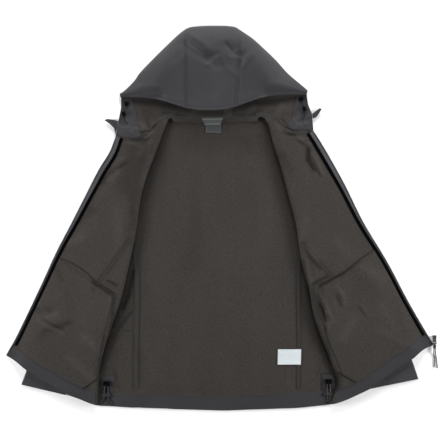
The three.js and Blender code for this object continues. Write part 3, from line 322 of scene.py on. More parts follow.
# Fronts. Each is one panel of softshell with its bonded fleece lining up. It lies folded back over
# the sleeve, so it runs from the side seam under itself, round a soft roll, and out to the zip.
WALL = 1.6
ON_TABLE, ON_SLEEVE = 1.0, 4.6  # a front's underside over the table, and how much higher over a sleeve
FOLD_GAP = 0.4
SWELL = 4
# The cloth's colour is darkened by painted shade, at most by this share, where creases and shadows are
# deepest.
PAINTED_SHADE_SHARE = 0.72  # how much of its light the cloth loses where a crease is deepest
FRONTS = {
    "L": dict(
        inward=1,
        # fold x, fold y, zip x, zip y, side seam x, side seam y, height of the roll
        sections=[
            (-124, 270, -250, 236, -236, 230, 8), (-145, 216, -282, 160, -254, 178, 11),
            (-162, 170, -309, 116, -250, 140, 14), (-184, 113, -338, 60, -250, 96, 16),
            (-202, 49, -369, -2, -257, 40, 16), (-213, -30, -404, -70, -272, -20, 16),
            (-229, -108, -440, -144, -279, -108, 15), (-251, -201, -480, -228, -287, -201, 14),
            (-273, -266, -510, -290, -297, -266, 14), (-294, -331, -541, -340, -307, -331, 11),
            (-305, -381, -566, -392, -314, -381, 9), (-310, -430, -590, -446, -318, -430, 8.4),
            (-312, -480, -615, -500, -321, -480, 8.2)],
        neck=[
            (-264, 206), (-247, 201), (-219, 200), (-195, 203), (-178, 215), (-163, 232), (-150, 245),
            (-129, 252)],
        zip=[
            (-264, 206), (-278, 168), (-305, 124), (-340, 56), (-374, -11), (-411, -82), (-447, -160),
            (-483, -235), (-518, -306), (-538, -341)],
        hem=[
            (-538, -341), (-511, -358), (-488, -376), (-462, -393), (-439, -407), (-412, -422), (-384, -438),
            (-353, -450), (-329, -460), (-309, -466)],
        beyond=(-150, -419),
        sleeve_out=[
            (-238, 188), (-280, 136), (-318, 40), (-352, -20), (-388, -95), (-438, -235), (-486, -376),
            (-500, -414)],
        sleeve_in=[
            (-258, -2), (-282, -56), (-292, -130), (-302, -200), (-318, -270), (-340, -330), (-366, -390),
            (-390, -440)],
        # soft ridges and troughs: from x, y to x, y, depth, width
        folds=[
            (-262, -196, -254, -222, -4, 9), (-291, 84, -271, 122, -4, 16), (-159, 197, -201, 47, 2.5, 22),
            (-457, -281, -394, -256, 2.5, 16), (-466, -243, -439, -203, 3, 18),
            (-372, -60, -300, -40, 1.5, 30)],
        creases=[
            (-278.8, 130.3, -328.8, 22.2, -1.5, 6), (-237.1, 138.6, -270.4, 113.6, -2, 5),
            (-266.3, 126, -312, 80.2, -1.8, 5), (-245, 150, -290, 112, 1.5, 6),
            (-187, 180.2, -220.4, 21.9, -1.2, 10), (-320.4, -153, -266.3, -186.4, -2, 3.5),
            (-266.3, -194.7, -270.4, -236.4, -1.8, 4), (-270.4, -236.4, -278.8, -286.4, -1.8, 4),
            (-276, -200, -281, -240, 1.5, 5), (-281, -240, -290, -288, 1.5, 5),
            (-395.4, -278, -445.4, -253, -2, 4), (-396, -288, -448, -263, 1.4, 5),
            (-466, -203, -437, -236, 1.2, 5), (-281, 160, -292, 118, -2.9, 6), (-262, 120, -276, 96, 2.2, 9),
            (-232, 190, -200, 178, 1.8, 5), (-226, 196, -182, 196, -2, 5), (-190, 200, -172, 214, 2, 5),
            (-205, 160, -178, 190, 1.6, 8), (-176, 150, -196, 90, 1.4, 12), (-330, 40, -300, 70, 1.3, 12),
            (-352, -6, -318, 18, -1.4, 10), (-395, -66, -350, -48, 1.4, 10),
            (-470, -222, -430, -232, -1.8, 9), (-455, -255, -410, -240, 1.6, 8),
            (-440, -280, -380, -262, -1.6, 9), (-300, -330, -340, -300, 1.6, 11),
            (-320, -400, -380, -350, 1.4, 12), (-412, -120, -398, -150, -1.4, 8),
            (-228, 60, -214, -20, -1.1, 9), (-262, 20, -250, -60, 0.9, 12)],
        # painted shade and shadow: from x, y to x, y, share, width
        painted_shadows=[
            (-150, 228, -190, 130, 0.3, 16), (-262, 196, -186, 196, 0.35, 6), (-205, 190, -236, 90, 0.4, 34),
            (-222, 10, -236, -60, 0.22, 12), (-322, -158, -276, -188, 0.85, 3.5),
            (-404, -101, -322, -157, 0.2, 3.5), (-266, -196, -292, -300, 0.35, 10),
            (-296, -320, -306, -400, 0.45, 10), (-300, -392, -344, -424, 0.35, 4),
            (-286, -152, -262, -164, 0.3, 4), (-282, 160, -292, 118, 0.3, 7)]),
    "R": dict(
        inward=-1,
        sections=[
            (92, 274, 212, 262, 196, 240, 8), (117, 234, 240, 212, 212, 200, 11),
            (128, 191, 266, 166, 212, 165, 14), (146, 138, 294, 110, 207, 125, 16),
            (160, 85, 322, 54, 206, 80, 16), (185, -11, 366, -28, 240, -8, 16),
            (199, -103, 414, -106, 247, -103, 15), (217, -171, 452, -176, 252, -171, 16),
            (231, -242, 488, -240, 259, -242, 16), (249, -295, 516, -290, 268, -295, 14),
            (267, -338, 540, -330, 280, -338, 11), (280, -377, 566, -375, 290, -377, 9),
            (290, -410, 590, -420, 299, -410, 8.4), (277, -450, 605, -460, 286, -452, 8.2),
            (258, -486, 615, -500, 267, -488, 8.2)],
        neck=[(229, 221), (205, 220), (181, 219), (161, 225), (143, 240), (123, 252), (98, 255)],
        zip=[
            (229, 221), (260, 170), (306, 88), (355, -11), (413, -107), (466, -206), (516, -292),
            (530, -315)],
        hem=[
            (530, -315), (501, -329), (474, -351), (442, -371), (387, -411), (375, -421), (346, -436),
            (306, -454), (284, -461), (270, -463)],
        beyond=(120, -419),
        sleeve_out=[
            (196, 200), (236, 152), (276, 70), (318, 0), (362, -80), (420, -200), (474, -348), (492, -400)],
        sleeve_in=[
            (232, -2), (254, -56), (262, -130), (270, -200), (290, -270), (314, -330), (342, -380),
            (374, -424)],
        folds=[
            (214, 177, 224, 132, -3, 15), (245, -210, 267, -260, 2.5, 16), (285, -192, 299, -220, -2, 14),
            (330, -120, 400, -180, 2, 24), (120, 200, 160, 90, 2, 20)],
        creases=[
            (174.6, 205.2, 216.2, 176.1, -2, 5), (216.2, 171.9, 218.7, 151.1, -2.5, 3.5),
            (218.7, 151, 245.4, 106.9, -2, 4), (228.7, 159.4, 253.7, 109.4, 1.8, 5),
            (212, -94.8, 224.6, -169.8, 2, 5), (203.7, -103, 216, -170, -2.5, 4),
            (216, -170, 222, -203, -2.5, 4), (224.6, -165.6, 253.7, -157.3, -1.5, 3),
            (241.2, -194.7, 253.7, -236.4, -2.2, 4), (253.7, -236.4, 257.9, -278, -2.2, 4),
            (257.9, -278, 270.4, -336, -2, 4), (249, -192, 262, -236, 1.8, 5), (262, -236, 267, -278, 1.6, 5),
            (253.7, -219.7, 268.7, -253, -1.5, 3), (303.7, -194.7, 287, -169.7, 1.5, 4),
            (341.2, -219.7, 357.9, -244.7, -1.4, 4), (348, -216, 364, -240, 1, 4),
            (387, -278, 470.4, -319.7, 1, 8), (216, 172, 212, 146, -2.9, 5), (212, 146, 232, 120, -2.5, 5),
            (200, 196, 176, 204, 2.2, 5), (182, 206, 150, 214, -2.2, 5), (150, 214, 132, 236, 1.8, 5),
            (230, 190, 214, 180, 1.4, 6), (246, -214, 262, -256, -2.2, 5), (256, -212, 276, -258, 2.2, 6),
            (286, -194, 296, -216, -2.3, 5), (300, -186, 308, -214, 1.6, 6), (350, -120, 400, -150, 1.4, 14),
            (210, -70, 236, -98, 2, 6), (214, -92, 244, -126, -2, 6), (208, 0, 200, -50, 1.1, 10),
            (290, -60, 330, -90, 1.1, 16), (400, -220, 430, -280, 1.3, 16), (170, 120, 150, 160, -1.3, 9),
            (300, -300, 330, -250, 1.3, 12)],
        painted_shadows=[
            (120, 240, 150, 150, 0.18, 12), (228, 212, 170, 212, 0.35, 6), (216, 172, 226, 120, 0.35, 7),
            (206, -60, 226, -140, 0.3, 8), (227, -172, 244, -246, 0.55, 7), (236, -262, 262, -330, 0.45, 9),
            (244, -168, 307, -134, 0.85, 3.5), (307, -134, 345, -106, 0.5, 3.5),
            (250, -176, 256, -250, 0.35, 6), (268, -340, 288, -400, 0.45, 10),
            (281, -377, 334, -408, 0.35, 4), (280, -376, 292, -400, 0.85, 5), (292, -400, 289, -426, 0.8, 5),
            (262, -142, 222, -162, 0.4, 4)]),
}


def smoothstep(low, high, value):
    t = np.clip((np.asarray(value, float) - low) / (high - low), 0, 1)
    return t * t * (3 - 2 * t)


def away_from(line, x, y):
    """The distance of each point from an open line."""
    a = np.asarray(line, float)[:, :2]
    d = a[1:] - a[:-1]
    p = np.stack([x, y], -1)[..., None, :]
    t = np.clip(((p - a[:-1]) * d).sum(-1) / np.maximum((d * d).sum(-1), 1e-12), 0, 1)
    return np.linalg.norm(p - a[:-1] - t[..., None] * d, axis=-1).min(-1)


def soft_lines(table, x, y):
    """What each soft line, from x, y to x, y with a depth and a width, adds at some points."""
    return [depth * np.exp(-((away_from([(x1, y1), (x2, y2)], x, y) / width) ** 2))
            for x1, y1, x2, y2, depth, width in table]


def ridges(table, x, y):
    """Soft ridges, and troughs where the depth is negative."""
    return sum(soft_lines(table, x, y))


def deepest(table, x, y):
    """The strongest of some soft lines."""
    return np.max(soft_lines(table, x, y), axis=0)


def front_painted_shading(front, x, y):
    """The painted shading of a front: painted shade in its creases, painted shadow beside its folds, and
    painted highlight on its crests.
    """
    creased = np.clip(-ridges(front["creases"], x, y) / 5, -0.32, 0.55)
    return np.minimum(creased + deepest(front["painted_shadows"], x, y), 0.95)


def front_level(front, x, y):
    """Height of a front's middle surface away from its fold: low on the table, higher on the sleeve."""
    line = front["sleeve_line"]
    square = (x[:, None] - line[None, :, 0]) ** 2 + (y[:, None] - line[None, :, 1]) ** 2
    nearest = line[np.argmin(square, axis=1)]
    inside = (x - nearest[:, 0]) * front["inward"] > 0
    away = np.where(inside, 0, away_from(line, x, y))
    return ON_TABLE + ON_SLEEVE * (1 - smoothstep(12, 42, away)) + WALL / 2


def front_surface(front, c, v):
    """Points of a front's middle surface. v runs from neck to hem. c runs from the side seam, at -2,
    to the roll, from -1 to 0, and on to the zip, at about 1."""
    s = np.array(front["sections"], float)
    fold = curve_at(s[:, [0, 1, 6]], v)
    zero = np.zeros(len(s))
    zip_end = curve_at(np.column_stack([s[:, 2:4], zero]), v)
    seam_end = curve_at(np.column_stack([s[:, 4:6], zero]), v)
    along = curve_at(s[:, [0, 1, 6]], v + 0.02) - curve_at(s[:, [0, 1, 6]], v - 0.02)
    along /= np.linalg.norm(along[:, :2], axis=1)[:, None]
    out = np.column_stack([-front["inward"] * np.abs(along[:, 1]), front["inward"] * along[:, 0]])
    low = WALL + FOLD_GAP + WALL / 2
    radius = (fold[:, 2] - low) / 2
    centre = fold[:, :2] + out * (radius + WALL / 2)[:, None]
    under = np.clip(-1 - c, 0, 1)
    lower = centre + under[:, None] * (seam_end[:, :2] - centre)
    angle = np.clip(c, -1, 0) * math.pi + math.pi / 2
    rolled = centre - out * (np.cos(angle) * radius)[:, None]
    u = np.maximum(c, 0)
    upper = centre + u[:, None] * (zip_end[:, :2] - centre)
    width = np.linalg.norm(zip_end[:, :2] - centre, axis=1)
    settle = smoothstep(0, 1, u * width / np.minimum(110, 0.6 * width))
    base = front_level(front, upper[:, 0], upper[:, 1])
    edge = smoothstep(4, 60, away_from(front["zip"], upper[:, 0], upper[:, 1]))
    swell = (SWELL + ridges(front["folds"], upper[:, 0], upper[:, 1])) * edge * settle
    fine = ridges(front["creases"], upper[:, 0], upper[:, 1]) * smoothstep(2, 20, u * width)
    fine *= smoothstep(3, 16, away_from(front["zip"], upper[:, 0], upper[:, 1]))
    height = np.maximum(fold[:, 2] + (base - fold[:, 2]) * settle + swell, base) + fine
    height = np.maximum(height, base - 0.2)
    flat_xy = np.where((c < -1)[:, None], lower, np.where((c < 0)[:, None], rolled, upper))
    z = np.where(c < -1, low, np.where(c < 0, low + radius * (1 + np.sin(angle)), height))
    return np.column_stack([flat_xy, z])


def crossing(values, t):
    """The t at which each row of values first changes sign."""
    change = np.argmax(values[:, 1:] * values[:, :-1] <= 0, axis=1)
    row = np.arange(len(values))
    a, b = values[row, change], values[row, change + 1]
    return t[change] + (t[change + 1] - t[change]) * a / np.where(np.abs(a - b) < 1e-9, 1, a - b)


def by_x(line, x):
    order = np.argsort(np.asarray(line)[:, 0])
    return np.interp(x, np.asarray(line)[order, 0], np.asarray(line)[order, 1])


def stretched(line, by=200):
    """An open line, run on straight at both ends."""
    line = np.asarray(line, float)
    first, last = line[0] - line[1], line[-1] - line[-2]
    return np.vstack([line[0] + first / np.linalg.norm(first) * by, line,
                      line[-1] + last / np.linalg.norm(last) * by])


def front_grid(front):
    """A front's middle surface as rows of points, trimmed to its neck, zip and hem."""
    columns, rows = 92, 190
    zip_line, neck_line, hem_line = (stretched(smooth_line(front[name], 60))
                                     for name in ("zip", "neck", "hem"))
    end_x, end_y = front["neck"][-1]
    neck_line = np.vstack([neck_line[:-1], (end_x + 4 * front["inward"], end_y),
                           (end_x + 29 * front["inward"], 160)])
    hem_line = np.vstack([hem_line[:-1], front["beyond"]])
    v = np.linspace(0, 1, 300)
    c = np.linspace(0.7, 1.35, 60)
    across = front_surface(front, np.tile(c, len(v)), np.repeat(v, len(c))).reshape(len(v), len(c), 3)
    c_zip = crossing(across[..., 0] - np.interp(-across[..., 1], -zip_line[:, 1], zip_line[:, 0]), c)
    shares = np.concatenate([np.linspace(-2, -1, 8)[:-1], np.linspace(-1, 0, 15)[:-1],
                             np.linspace(0, 1, columns)])
    column_c = np.where(shares[:, None] > 0, shares[:, None] * c_zip[None], shares[:, None])
    lines = front_surface(front, column_c.ravel(), np.tile(v, len(shares))).reshape(len(shares), len(v), 3)
    half = len(v) // 2
    neck = crossing(lines[:, :half, 1] - by_x(neck_line, lines[:, :half, 0]), v[:half])
    hem = crossing(lines[:, half:, 1] - by_x(hem_line, lines[:, half:, 0]), v[half:])
    grid_v = neck[:, None] + np.linspace(0, 1, rows)[None] * (hem - neck)[:, None]
    grid_c = np.where(shares[:, None] > 0, shares[:, None] * np.interp(grid_v, v, c_zip), shares[:, None])
    points = front_surface(front, grid_c.ravel(), grid_v.ravel())
    return points.reshape(len(shares), rows, 3)


def grid_faces(across, down, turned=False):
    i = (np.arange(across - 1)[:, None] * down + np.arange(down - 1)[None]).ravel()
    quads = np.stack([i, i + 1, i + down + 1, i + down], axis=1)
    return quads[:, ::-1] if turned else quads


def choose(piece):
    """Selects one piece alone and makes it the active one."""
    bpy.ops.object.select_all(action="DESELECT")
    piece.select_set(True)
    bpy.context.view_layer.objects.active = piece


def thicken(piece, thickness):
    """Gives a sheet its wall, half on each side, with crisp edges."""
    choose(piece)
    wall = piece.modifiers.new("wall", "SOLIDIFY")
    wall.thickness, wall.offset = thickness / 1000, 0
    bpy.ops.object.modifier_apply(modifier="wall")
    bpy.ops.object.shade_smooth_by_angle(angle=math.radians(50))


def noise(tree, vector, scale, detail):
    node = tree.nodes.new("ShaderNodeTexNoise")
    node.inputs["Scale"].default_value = scale
    node.inputs["Detail"].default_value = detail
    tree.links.new(vector, node.inputs["Vector"])
    return node.outputs["Fac"]


def paint_shading(tree, shader, colour):
    """Sets the shader's colour with painted shading: painted shade takes away a share of it where the cloth's
    creases and the shadows beside its folds are deepest, and painted highlight makes it a little lighter on
    their crests."""
    painted_shading = tree.nodes.new("ShaderNodeAttribute")
    painted_shading.attribute_name = "painted_shading"
    keep = tree.nodes.new("ShaderNodeMath")
    keep.operation = "MULTIPLY_ADD"
    keep.inputs[1].default_value, keep.inputs[2].default_value = -PAINTED_SHADE_SHARE, 1.0
    tree.links.new(painted_shading.outputs["Fac"], keep.inputs[0])
    shade = tree.nodes.new("ShaderNodeVectorMath")
    shade.operation = "SCALE"
    tree.links.new(colour, shade.inputs[0])
    tree.links.new(keep.outputs[0], shade.inputs["Scale"])
    tree.links.new(shade.outputs[0], shader.inputs["Base Color"])


def lay(piece, slot, node, flat, held="laid", **more):
    """Declares a piece of cloth. Its size when it is spread flat, in metres, is not used."""
    declare(piece, slot, node)
    return piece


def fleece_finish():
    """Brown-grey knitted fleece that is bonded to the softshell's back: very fine upright ribs, a short even
    nap and soft cloudy shades, with painted shade and highlight where its piece carries them."""
    finish, tree, shader, coordinates = new_finish("lining_fleece", rgb(50, 47, 45), 0.96, sheen=0.04,
                                                   gloss=0.06)
    place = coordinates.outputs["Object"]
    grain = noise(tree, mapped(tree, place, (1, 0.3, 1)), 700, 3)
    ribs = waves(tree, mapped(tree, place, (1, 0.3, 1)), 150, "X", 1.2)
    cloud = noise(tree, mapped(tree, place, (1, 0.35, 1)), 14, 2)
    value = sum_of(tree, sum_of(tree, grain, cloud, 0.22), ribs, 0.12)
    paint_shading(tree, shader, tones(tree, value, 0.42, 0.92, rgb(36, 34, 32), rgb(54, 51, 48)))
    relief(tree, shader, sum_of(tree, grain, ribs, 0.6), 0.0001, 0.5)
    return finish


fleece = fleece_finish()
surface_tree = {}
for side, front in FRONTS.items():
    front["sleeve_line"] = smooth_line(front["sleeve_out"], 40)
    grid = front_grid(front)
    across, down = grid.shape[:2]
    # painted shade and shadow on the front, and painted highlight on its crests
    painted_shading = front_painted_shading(front, grid[..., 0].ravel(), grid[..., 1].ravel())
    panel = mesh_piece("front_panel_" + side, page(grid.reshape(-1, 3)),
                       grid_faces(across, down, side == "R"), fleece, painted_shading=painted_shading)
    thicken(panel, WALL)
    lay(panel, "lining", "front_" + side, (0.34, 0.75), "folded", area=0.19,
        rests_on=["sleeve_" + side, "back_side_" + side])
    # the middle surface, run on past its edges, for what lies on it
    c, v = np.meshgrid(np.linspace(0, 1.25, 120), np.linspace(0, 1, 240), indexing="ij")
    wide = front_surface(front, c.ravel(), v.ravel())
    surface_tree[side] = BVHTree.FromPolygons([tuple(p) for p in wide],
                                              [tuple(f) for f in grid_faces(120, 240).tolist()])

# Trim on the fronts. A grey tape with a nylon coil runs down each front edge, with a black woven
# binding sewn along it; the pocket bags are lining cloth, and the hem is faced with outer cloth.
TRIM = 0.9
SEAM = 0.3
LAYER = WALL / 2 + SEAM + TRIM / 2
TRIM_TOP = LAYER + TRIM / 2
ZIP_BINDING = 8
HEM_FACING = 30
STITCH_RISE = 0.22
BAG_EDGES = {
    "L": [
        (-404, -98), (-368, -114), (-335, -137), (-320, -154), (-272, -184), (-276, -215), (-294, -290),
        (-306, -350), (-312, -432)],
    "R": [
        (380, -78), (347, -101), (307, -133), (291, -141), (244, -168), (240, -200), (250, -250), (266, -300),
        (288, -350), (300, -380), (302, -423)],
}
BAG_SEAMS = {"L": [[(-286.3, -151.6), (-257.3, -165.6)], [(-304.8, -394.6), (-345.8, -424.9)]],
             "R": [[(267, -141.4), (217.5, -165.1)], [(281.3, -376.9), (336.3, -408.9)]]}
POCKET_TAPES = {"L": [(-226, -48), (-322, -177)], "R": [(200, -58), (286, -155)]}
ROLL_EDGE = {"L": -315, "R": 281}  # where the roll starts, above the hem


def beside(line, distance):
    """An open line moved sideways, to the left of its direction where the distance is positive."""
    line = np.asarray(line, float)
    ahead = unit(np.vstack([line[1:], line[-1:]]) - np.vstack([line[:1], line[:-1]]))
    return line + np.column_stack([-ahead[:, 1], ahead[:, 0]]) * np.reshape(distance, (-1, 1))


def clipped(outline, start, end):
    """The part of an outline that lies to the left of the line from start to end."""
    (ax, ay), (bx, by) = start, end
    kept = []
    values = [(bx - ax) * (y - ay) - (by - ay) * (x - ax) for x, y in outline]
    for i, (p, value) in enumerate(zip(outline, values)):
        q, other = outline[(i + 1) % len(outline)], values[(i + 1) % len(outline)]
        if value >= 0:
            kept.append(tuple(p))
        if value * other < 0:
            share = value / (value - other)
            kept.append((p[0] + share * (q[0] - p[0]), p[1] + share * (q[1] - p[1])))
    return kept


def within(outline, x, y):
    """Which points lie inside a closed outline."""
    hits = np.zeros(len(x), dtype=int)
    for (ax, ay), (bx, by) in zip(outline, np.roll(outline, -1, axis=0)):
        if ay != by:
            hits += ((ay > y) != (by > y)) & (x < (bx - ax) * (y - ay) / (by - ay) + ax)
    return hits % 2 == 1


def filled(outline, spacing):
    """Points and triangles that fill a closed outline evenly."""
    line = np.asarray(outline, float)
    edge = []
    for a, b in zip(line, np.roll(line, -1, axis=0)):
        count = max(1, int(round(np.linalg.norm(b - a) / spacing)))
        edge += [a + (b - a) * k / count for k in range(count)]
    edge = np.array(edge)
    x, y = edge[:, 0], edge[:, 1]
    if (x * np.roll(y, -1) - y * np.roll(x, -1)).sum() < 0:
        edge = edge[::-1]
    rows = np.arange(edge[:, 1].min(), edge[:, 1].max(), spacing * 0.866)
    gx, gy = np.meshgrid(np.arange(edge[:, 0].min(), edge[:, 0].max(), spacing), rows)
    gx = (gx + (np.arange(len(rows)) % 2)[:, None] * spacing / 2).ravel()
    gy = gy.ravel()
    inner = within(edge, gx, gy)
    gx, gy = gx[inner], gy[inner]
    clear = away_from(np.vstack([edge, edge[:1]]), gx, gy) > 0.5 * spacing
    points = np.vstack([edge, np.column_stack([gx[clear], gy[clear]])])
    result = delaunay_2d_cdt([Vector(p) for p in points], [], [list(range(len(edge)))], 1, 1e-5)
    return np.array([tuple(p) for p in result[0]]), result[2]


def on_front(side):
    """Places points over a front's upper face, with a lift from its middle surface."""
    def place(xy, lift):
        out = []
        for (x, y), rise in zip(xy, np.broadcast_to(lift, len(xy))):
            spot, normal, _, _ = surface_tree[side].ray_cast((x, y, 200), (0, 0, -1))
            if spot is None:
                spot, normal, _, _ = surface_tree[side].find_nearest((x, y, 5))
            out.append(tuple(spot + normal * (rise if normal.z > 0 else -rise)))
        return np.array(out)
    return place


def patch(name, outline, spacing, place, finish, lift=LAYER, thickness=TRIM, relief_of=None, painted_shading_of=None):
    """A flat piece of cloth that lies on a surface, over an outline, with painted shade and highlight if it
    is given them.
    """
    xy, faces = filled(outline, spacing)
    rise = lift if relief_of is None else lift + relief_of(xy[:, 0], xy[:, 1])
    painted_shading = None if painted_shading_of is None else painted_shading_of(xy[:, 0], xy[:, 1])
    piece = mesh_piece(name, page(place(xy, rise)), faces, finish, painted_shading=painted_shading)
    thicken(piece, thickness)
    return piece


def sewn(name, lines, place, lift, thread, pitch=3.0, length=2.2, radius=0.24, slot="cord"):
    """Rows of small arched stitches along lines that lie on a surface."""
    points, faces = [], []
    for line in lines:
        ends = spaced(line, max(2, int(length_of(line) / pitch)))
        starts = ends[:-1]
        ahead = unit(ends[1:] - starts)
        spots = np.vstack([starts, starts + ahead * length / 2, starts + ahead * length])
        seats = place(spots, lift).reshape(3, len(starts), 3)
        seats[..., 2] += STITCH_RISE * np.array([-1, 1, -1])[:, None]
        side = np.column_stack([-ahead[:, 1], ahead[:, 0], np.zeros(len(ahead))])
        for k in range(len(starts)):
            base = len(points)
            for ring in range(3):
                middle, out, up = seats[ring, k], side[k] * radius, np.array([0, 0, radius])
                points += [middle + out, middle + up, middle - out, middle - up]
            faces += [tuple(base + corner for corner in face) for face in tube_faces(2, 4)]
            faces += [(base + 3, base + 2, base + 1, base), (base + 8, base + 9, base + 10, base + 11)]
    declare(mesh_piece(name, page(points), faces, thread), slot)


def weave_finish(name, colour, light, pitch, sheen=0.05, roughness=0.8, turn=0.0, gloss=0.15):
    """Plain or twill woven cloth: two sets of yarns that cross, and soft cloudy shades, with painted shade
    and highlight where its piece carries them.
    """
    finish, tree, shader, coordinates = new_finish(name, colour, roughness, sheen=sheen, gloss=gloss)
    place = mapped(tree, coordinates.outputs["Object"], (1, 1, 1), turn)
    yarns = 2 * math.pi / 20 / (pitch / 1000)
    warp, weft = waves(tree, place, yarns, "X", 0.6), waves(tree, place, yarns, "Y", 0.6)
    grain = noise(tree, coordinates.outputs["Object"], 700, 3)
    cloud = noise(tree, coordinates.outputs["Object"], 14, 3)
    woven = sum_of(tree, warp, weft, 1.0)
    value = sum_of(tree, sum_of(tree, grain, woven, 0.1), cloud, 0.25)
    paint_shading(tree, shader, tones(tree, value, 0.4, 0.95, colour, light))
    relief(tree, shader, sum_of(tree, woven, grain, 0.8), 0.0002, 0.5)
    return finish


grey_tape = weave_finish("grey_tape", rgb(44, 44, 47), rgb(64, 64, 68), 0.9)
black_binding = weave_finish("black_binding", rgb(2, 2, 2), rgb(7, 7, 8), 0.8, sheen=0, gloss=0)
facing_cloth = weave_finish("facing_twill", rgb(27, 27, 29), rgb(46, 46, 49), 1.1, turn=0.785)
seam_tape = weave_finish("seam_tape", rgb(28, 27, 26), rgb(46, 44, 42), 0.8)
dark_thread = new_finish("dark_thread", rgb(20, 19, 20), 0.7, gloss=0.2)[0]
coil_nylon = new_finish("coil_nylon", rgb(26, 26, 28), 0.42)[0]


def front_edge(side):
    """The zip edge's points, the tape's width at each, and the line of the hem facing's top."""
    front = FRONTS[side]
    edge = smooth_line(front["zip"], 110)
    widths = 12 - 7 * smoothstep(0.1, 0.6, np.linspace(0, 1, len(edge)))
    hem = stretched(smooth_line(front["hem"], 60), 40)
    return edge, widths, hem, beside(hem, front["inward"] * HEM_FACING)


def above(line, top):
    """The points of a line that lie above another one."""
    return line[line[:, 1] > by_x(top, line[:, 0])]


def strip(name, near, far, place, finish):
    """A long narrow piece of trim between two lines with the same number of points."""
    across = 6
    share = np.linspace(0, 1, across)[:, None, None]
    xy = near[None] * (1 - share) + far[None] * share
    piece = mesh_piece(name, page(place(xy.reshape(-1, 2), LAYER)), grid_faces(across, len(near)), finish)
    thicken(piece, TRIM)
    return piece


def zip_coil(name, edge, place):
    """A nylon coil: small leaning loops that follow one another along the tape's edge."""
    spots = spaced(edge, int(length_of(edge) / 1.5))
    ahead = unit(np.gradient(spots, axis=0))
    seats = place(spots, TRIM_TOP + 0.5)
    points, faces = [], []
    for seat, (dx, dy) in zip(seats, ahead):
        along, side = np.array([dx, dy, 0]), np.array([-dy, dx, 0])
        base = len(points)
        for s, z in ((-1.7, 0.1), (-0.9, 0.75), (0.9, 0.75), (1.7, 0.1), (0.9, -0.45), (-0.9, -0.45)):
            centre = seat + side * s + along * (s * 0.12) + np.array([0, 0, z])
            points += [centre - along * 0.42, centre + along * 0.42]
        for j in range(6):
            a, b = base + 2 * j, base + 2 * ((j + 1) % 6)
            faces.append((a, a + 1, b + 1, b))
        faces += [tuple(base + 2 * j for j in range(6))[::-1], tuple(base + 2 * j + 1 for j in range(6))]
    return mesh_piece(name, page(points), faces, coil_nylon)


for side, front in FRONTS.items():
    place, inward, below = on_front(side), front["inward"], ["front_panel_" + side]
    # the front's painted shade, shadow and highlight, for the trim that lies on it
    shade = partial(front_painted_shading, front)
    edge, widths, hem, top = front_edge(side)
    kept = int((edge[:, 1] > by_x(top, edge[:, 0]) + 1).sum())
    near, middle, inside, far = (beside(edge, inward * off)[:kept] for off in (
        0.4, widths - SEAM / 2, widths - SEAM, widths + ZIP_BINDING))
    tape = strip("zip_tape_band_" + side, near, inside, place, grey_tape)
    binding = strip("zip_binding_band_" + side, middle + (far - middle) * 0.02, far, place, black_binding)
    lay(tape, "zip_tape", "zip_tape_" + side, (0.012, 0.58), area=0.0043, rests_on=below)
    lay(binding, "binding", "zip_binding_" + side, (0.01, 0.58), area=0.0047, rests_on=below)
    declare(zip_coil("zip_coil_" + side, beside(edge, inward * 1.6)[2:-2], place), "binding")

    corner, x = stretched(front["zip"], 60), ROLL_EDGE[side]
    outline = np.vstack([beside(hem, inward * 0.5), top[::-1]])
    for cut in ((corner[-3], corner[-1]), ((x, -600), (x, 0))):
        outline = clipped(outline, *cut[::inward])
    facing = patch("hem_facing_" + side, outline, 3, place, facing_cloth, painted_shading_of=shade)
    declare(facing, "facing", "hem_facing_front_" + side)

    bag_top = np.array(BAG_EDGES[side], float)
    inner = above(beside(edge, inward * (widths + ZIP_BINDING + SEAM)), top + (0, 1))
    inner = inner[inner[:, 1] < bag_top[0, 1]]
    foot = beside(hem, inward * (HEM_FACING + SEAM))
    low_x, high_x = sorted((inner[-1, 0], bag_top[-1, 0]))
    foot = foot[(foot[:, 0] > low_x + 1) & (foot[:, 0] < high_x - 1)]
    bag_line = smooth_line(bag_top[:5], 40)

    def welt_relief(x, y):
        return 0.9 * np.exp(-((away_from(bag_line, x, y) / 4) ** 2))

    outline = np.vstack([bag_line, bag_top[5:], foot[::-1], inner[::-1]])
    bag = patch("pocket_bag_cloth_" + side, outline, 3, place, fleece, relief_of=welt_relief, painted_shading_of=shade)
    declare(bag, "lining", "pocket_bag_" + side)

    start, end = np.array(POCKET_TAPES[side], float)
    outline = np.vstack([beside([start, end], -6), beside([start, end], 6)[::-1]])
    outline = clipped(outline, *[bag_top[4], bag_top[3]][::inward])
    pocket_tape = patch("pocket_tape_band_" + side, outline, 2.5, place, seam_tape)
    lay(pocket_tape, "lining", "pocket_tape_" + side, (0.012, 0.03), area=0.00025 if side == "L" else 0.00012,
        rests_on=below)

    sewn("pocket_stitches_" + side, [beside(bag_line, -inward * 2.6)], place, TRIM_TOP + 0.1, dark_thread)
    tape_rows = [beside([start, start + (end - start) * 0.93], off) for off in (-4.2, 4.2)]
    sewn("pocket_tape_rows_" + side, tape_rows, place, TRIM_TOP + 0.3, dark_thread, 1.9, 1.6, 0.4)
    sewn("bag_overlock_" + side, [beside(bag_line, inward * 0.4), *BAG_SEAMS[side]], place, TRIM_TOP + 0.5,
         dark_thread, 1.9, 1.7, 0.75)
    hem_row = above(beside(top, -inward * 2), top - (0, 8))
    hem_x = hem_row[:, 0]
    hem_row = hem_row[(np.abs(hem_x) > abs(x) + 3) & (hem_x * inward > edge[-1, 0] * inward + 6)]
    edge_rows = [beside(edge, inward * (widths + 1.2))[:kept], hem_row]
    sewn("edge_stitches_" + side, edge_rows, place, TRIM_TOP + 0.1, dark_thread)

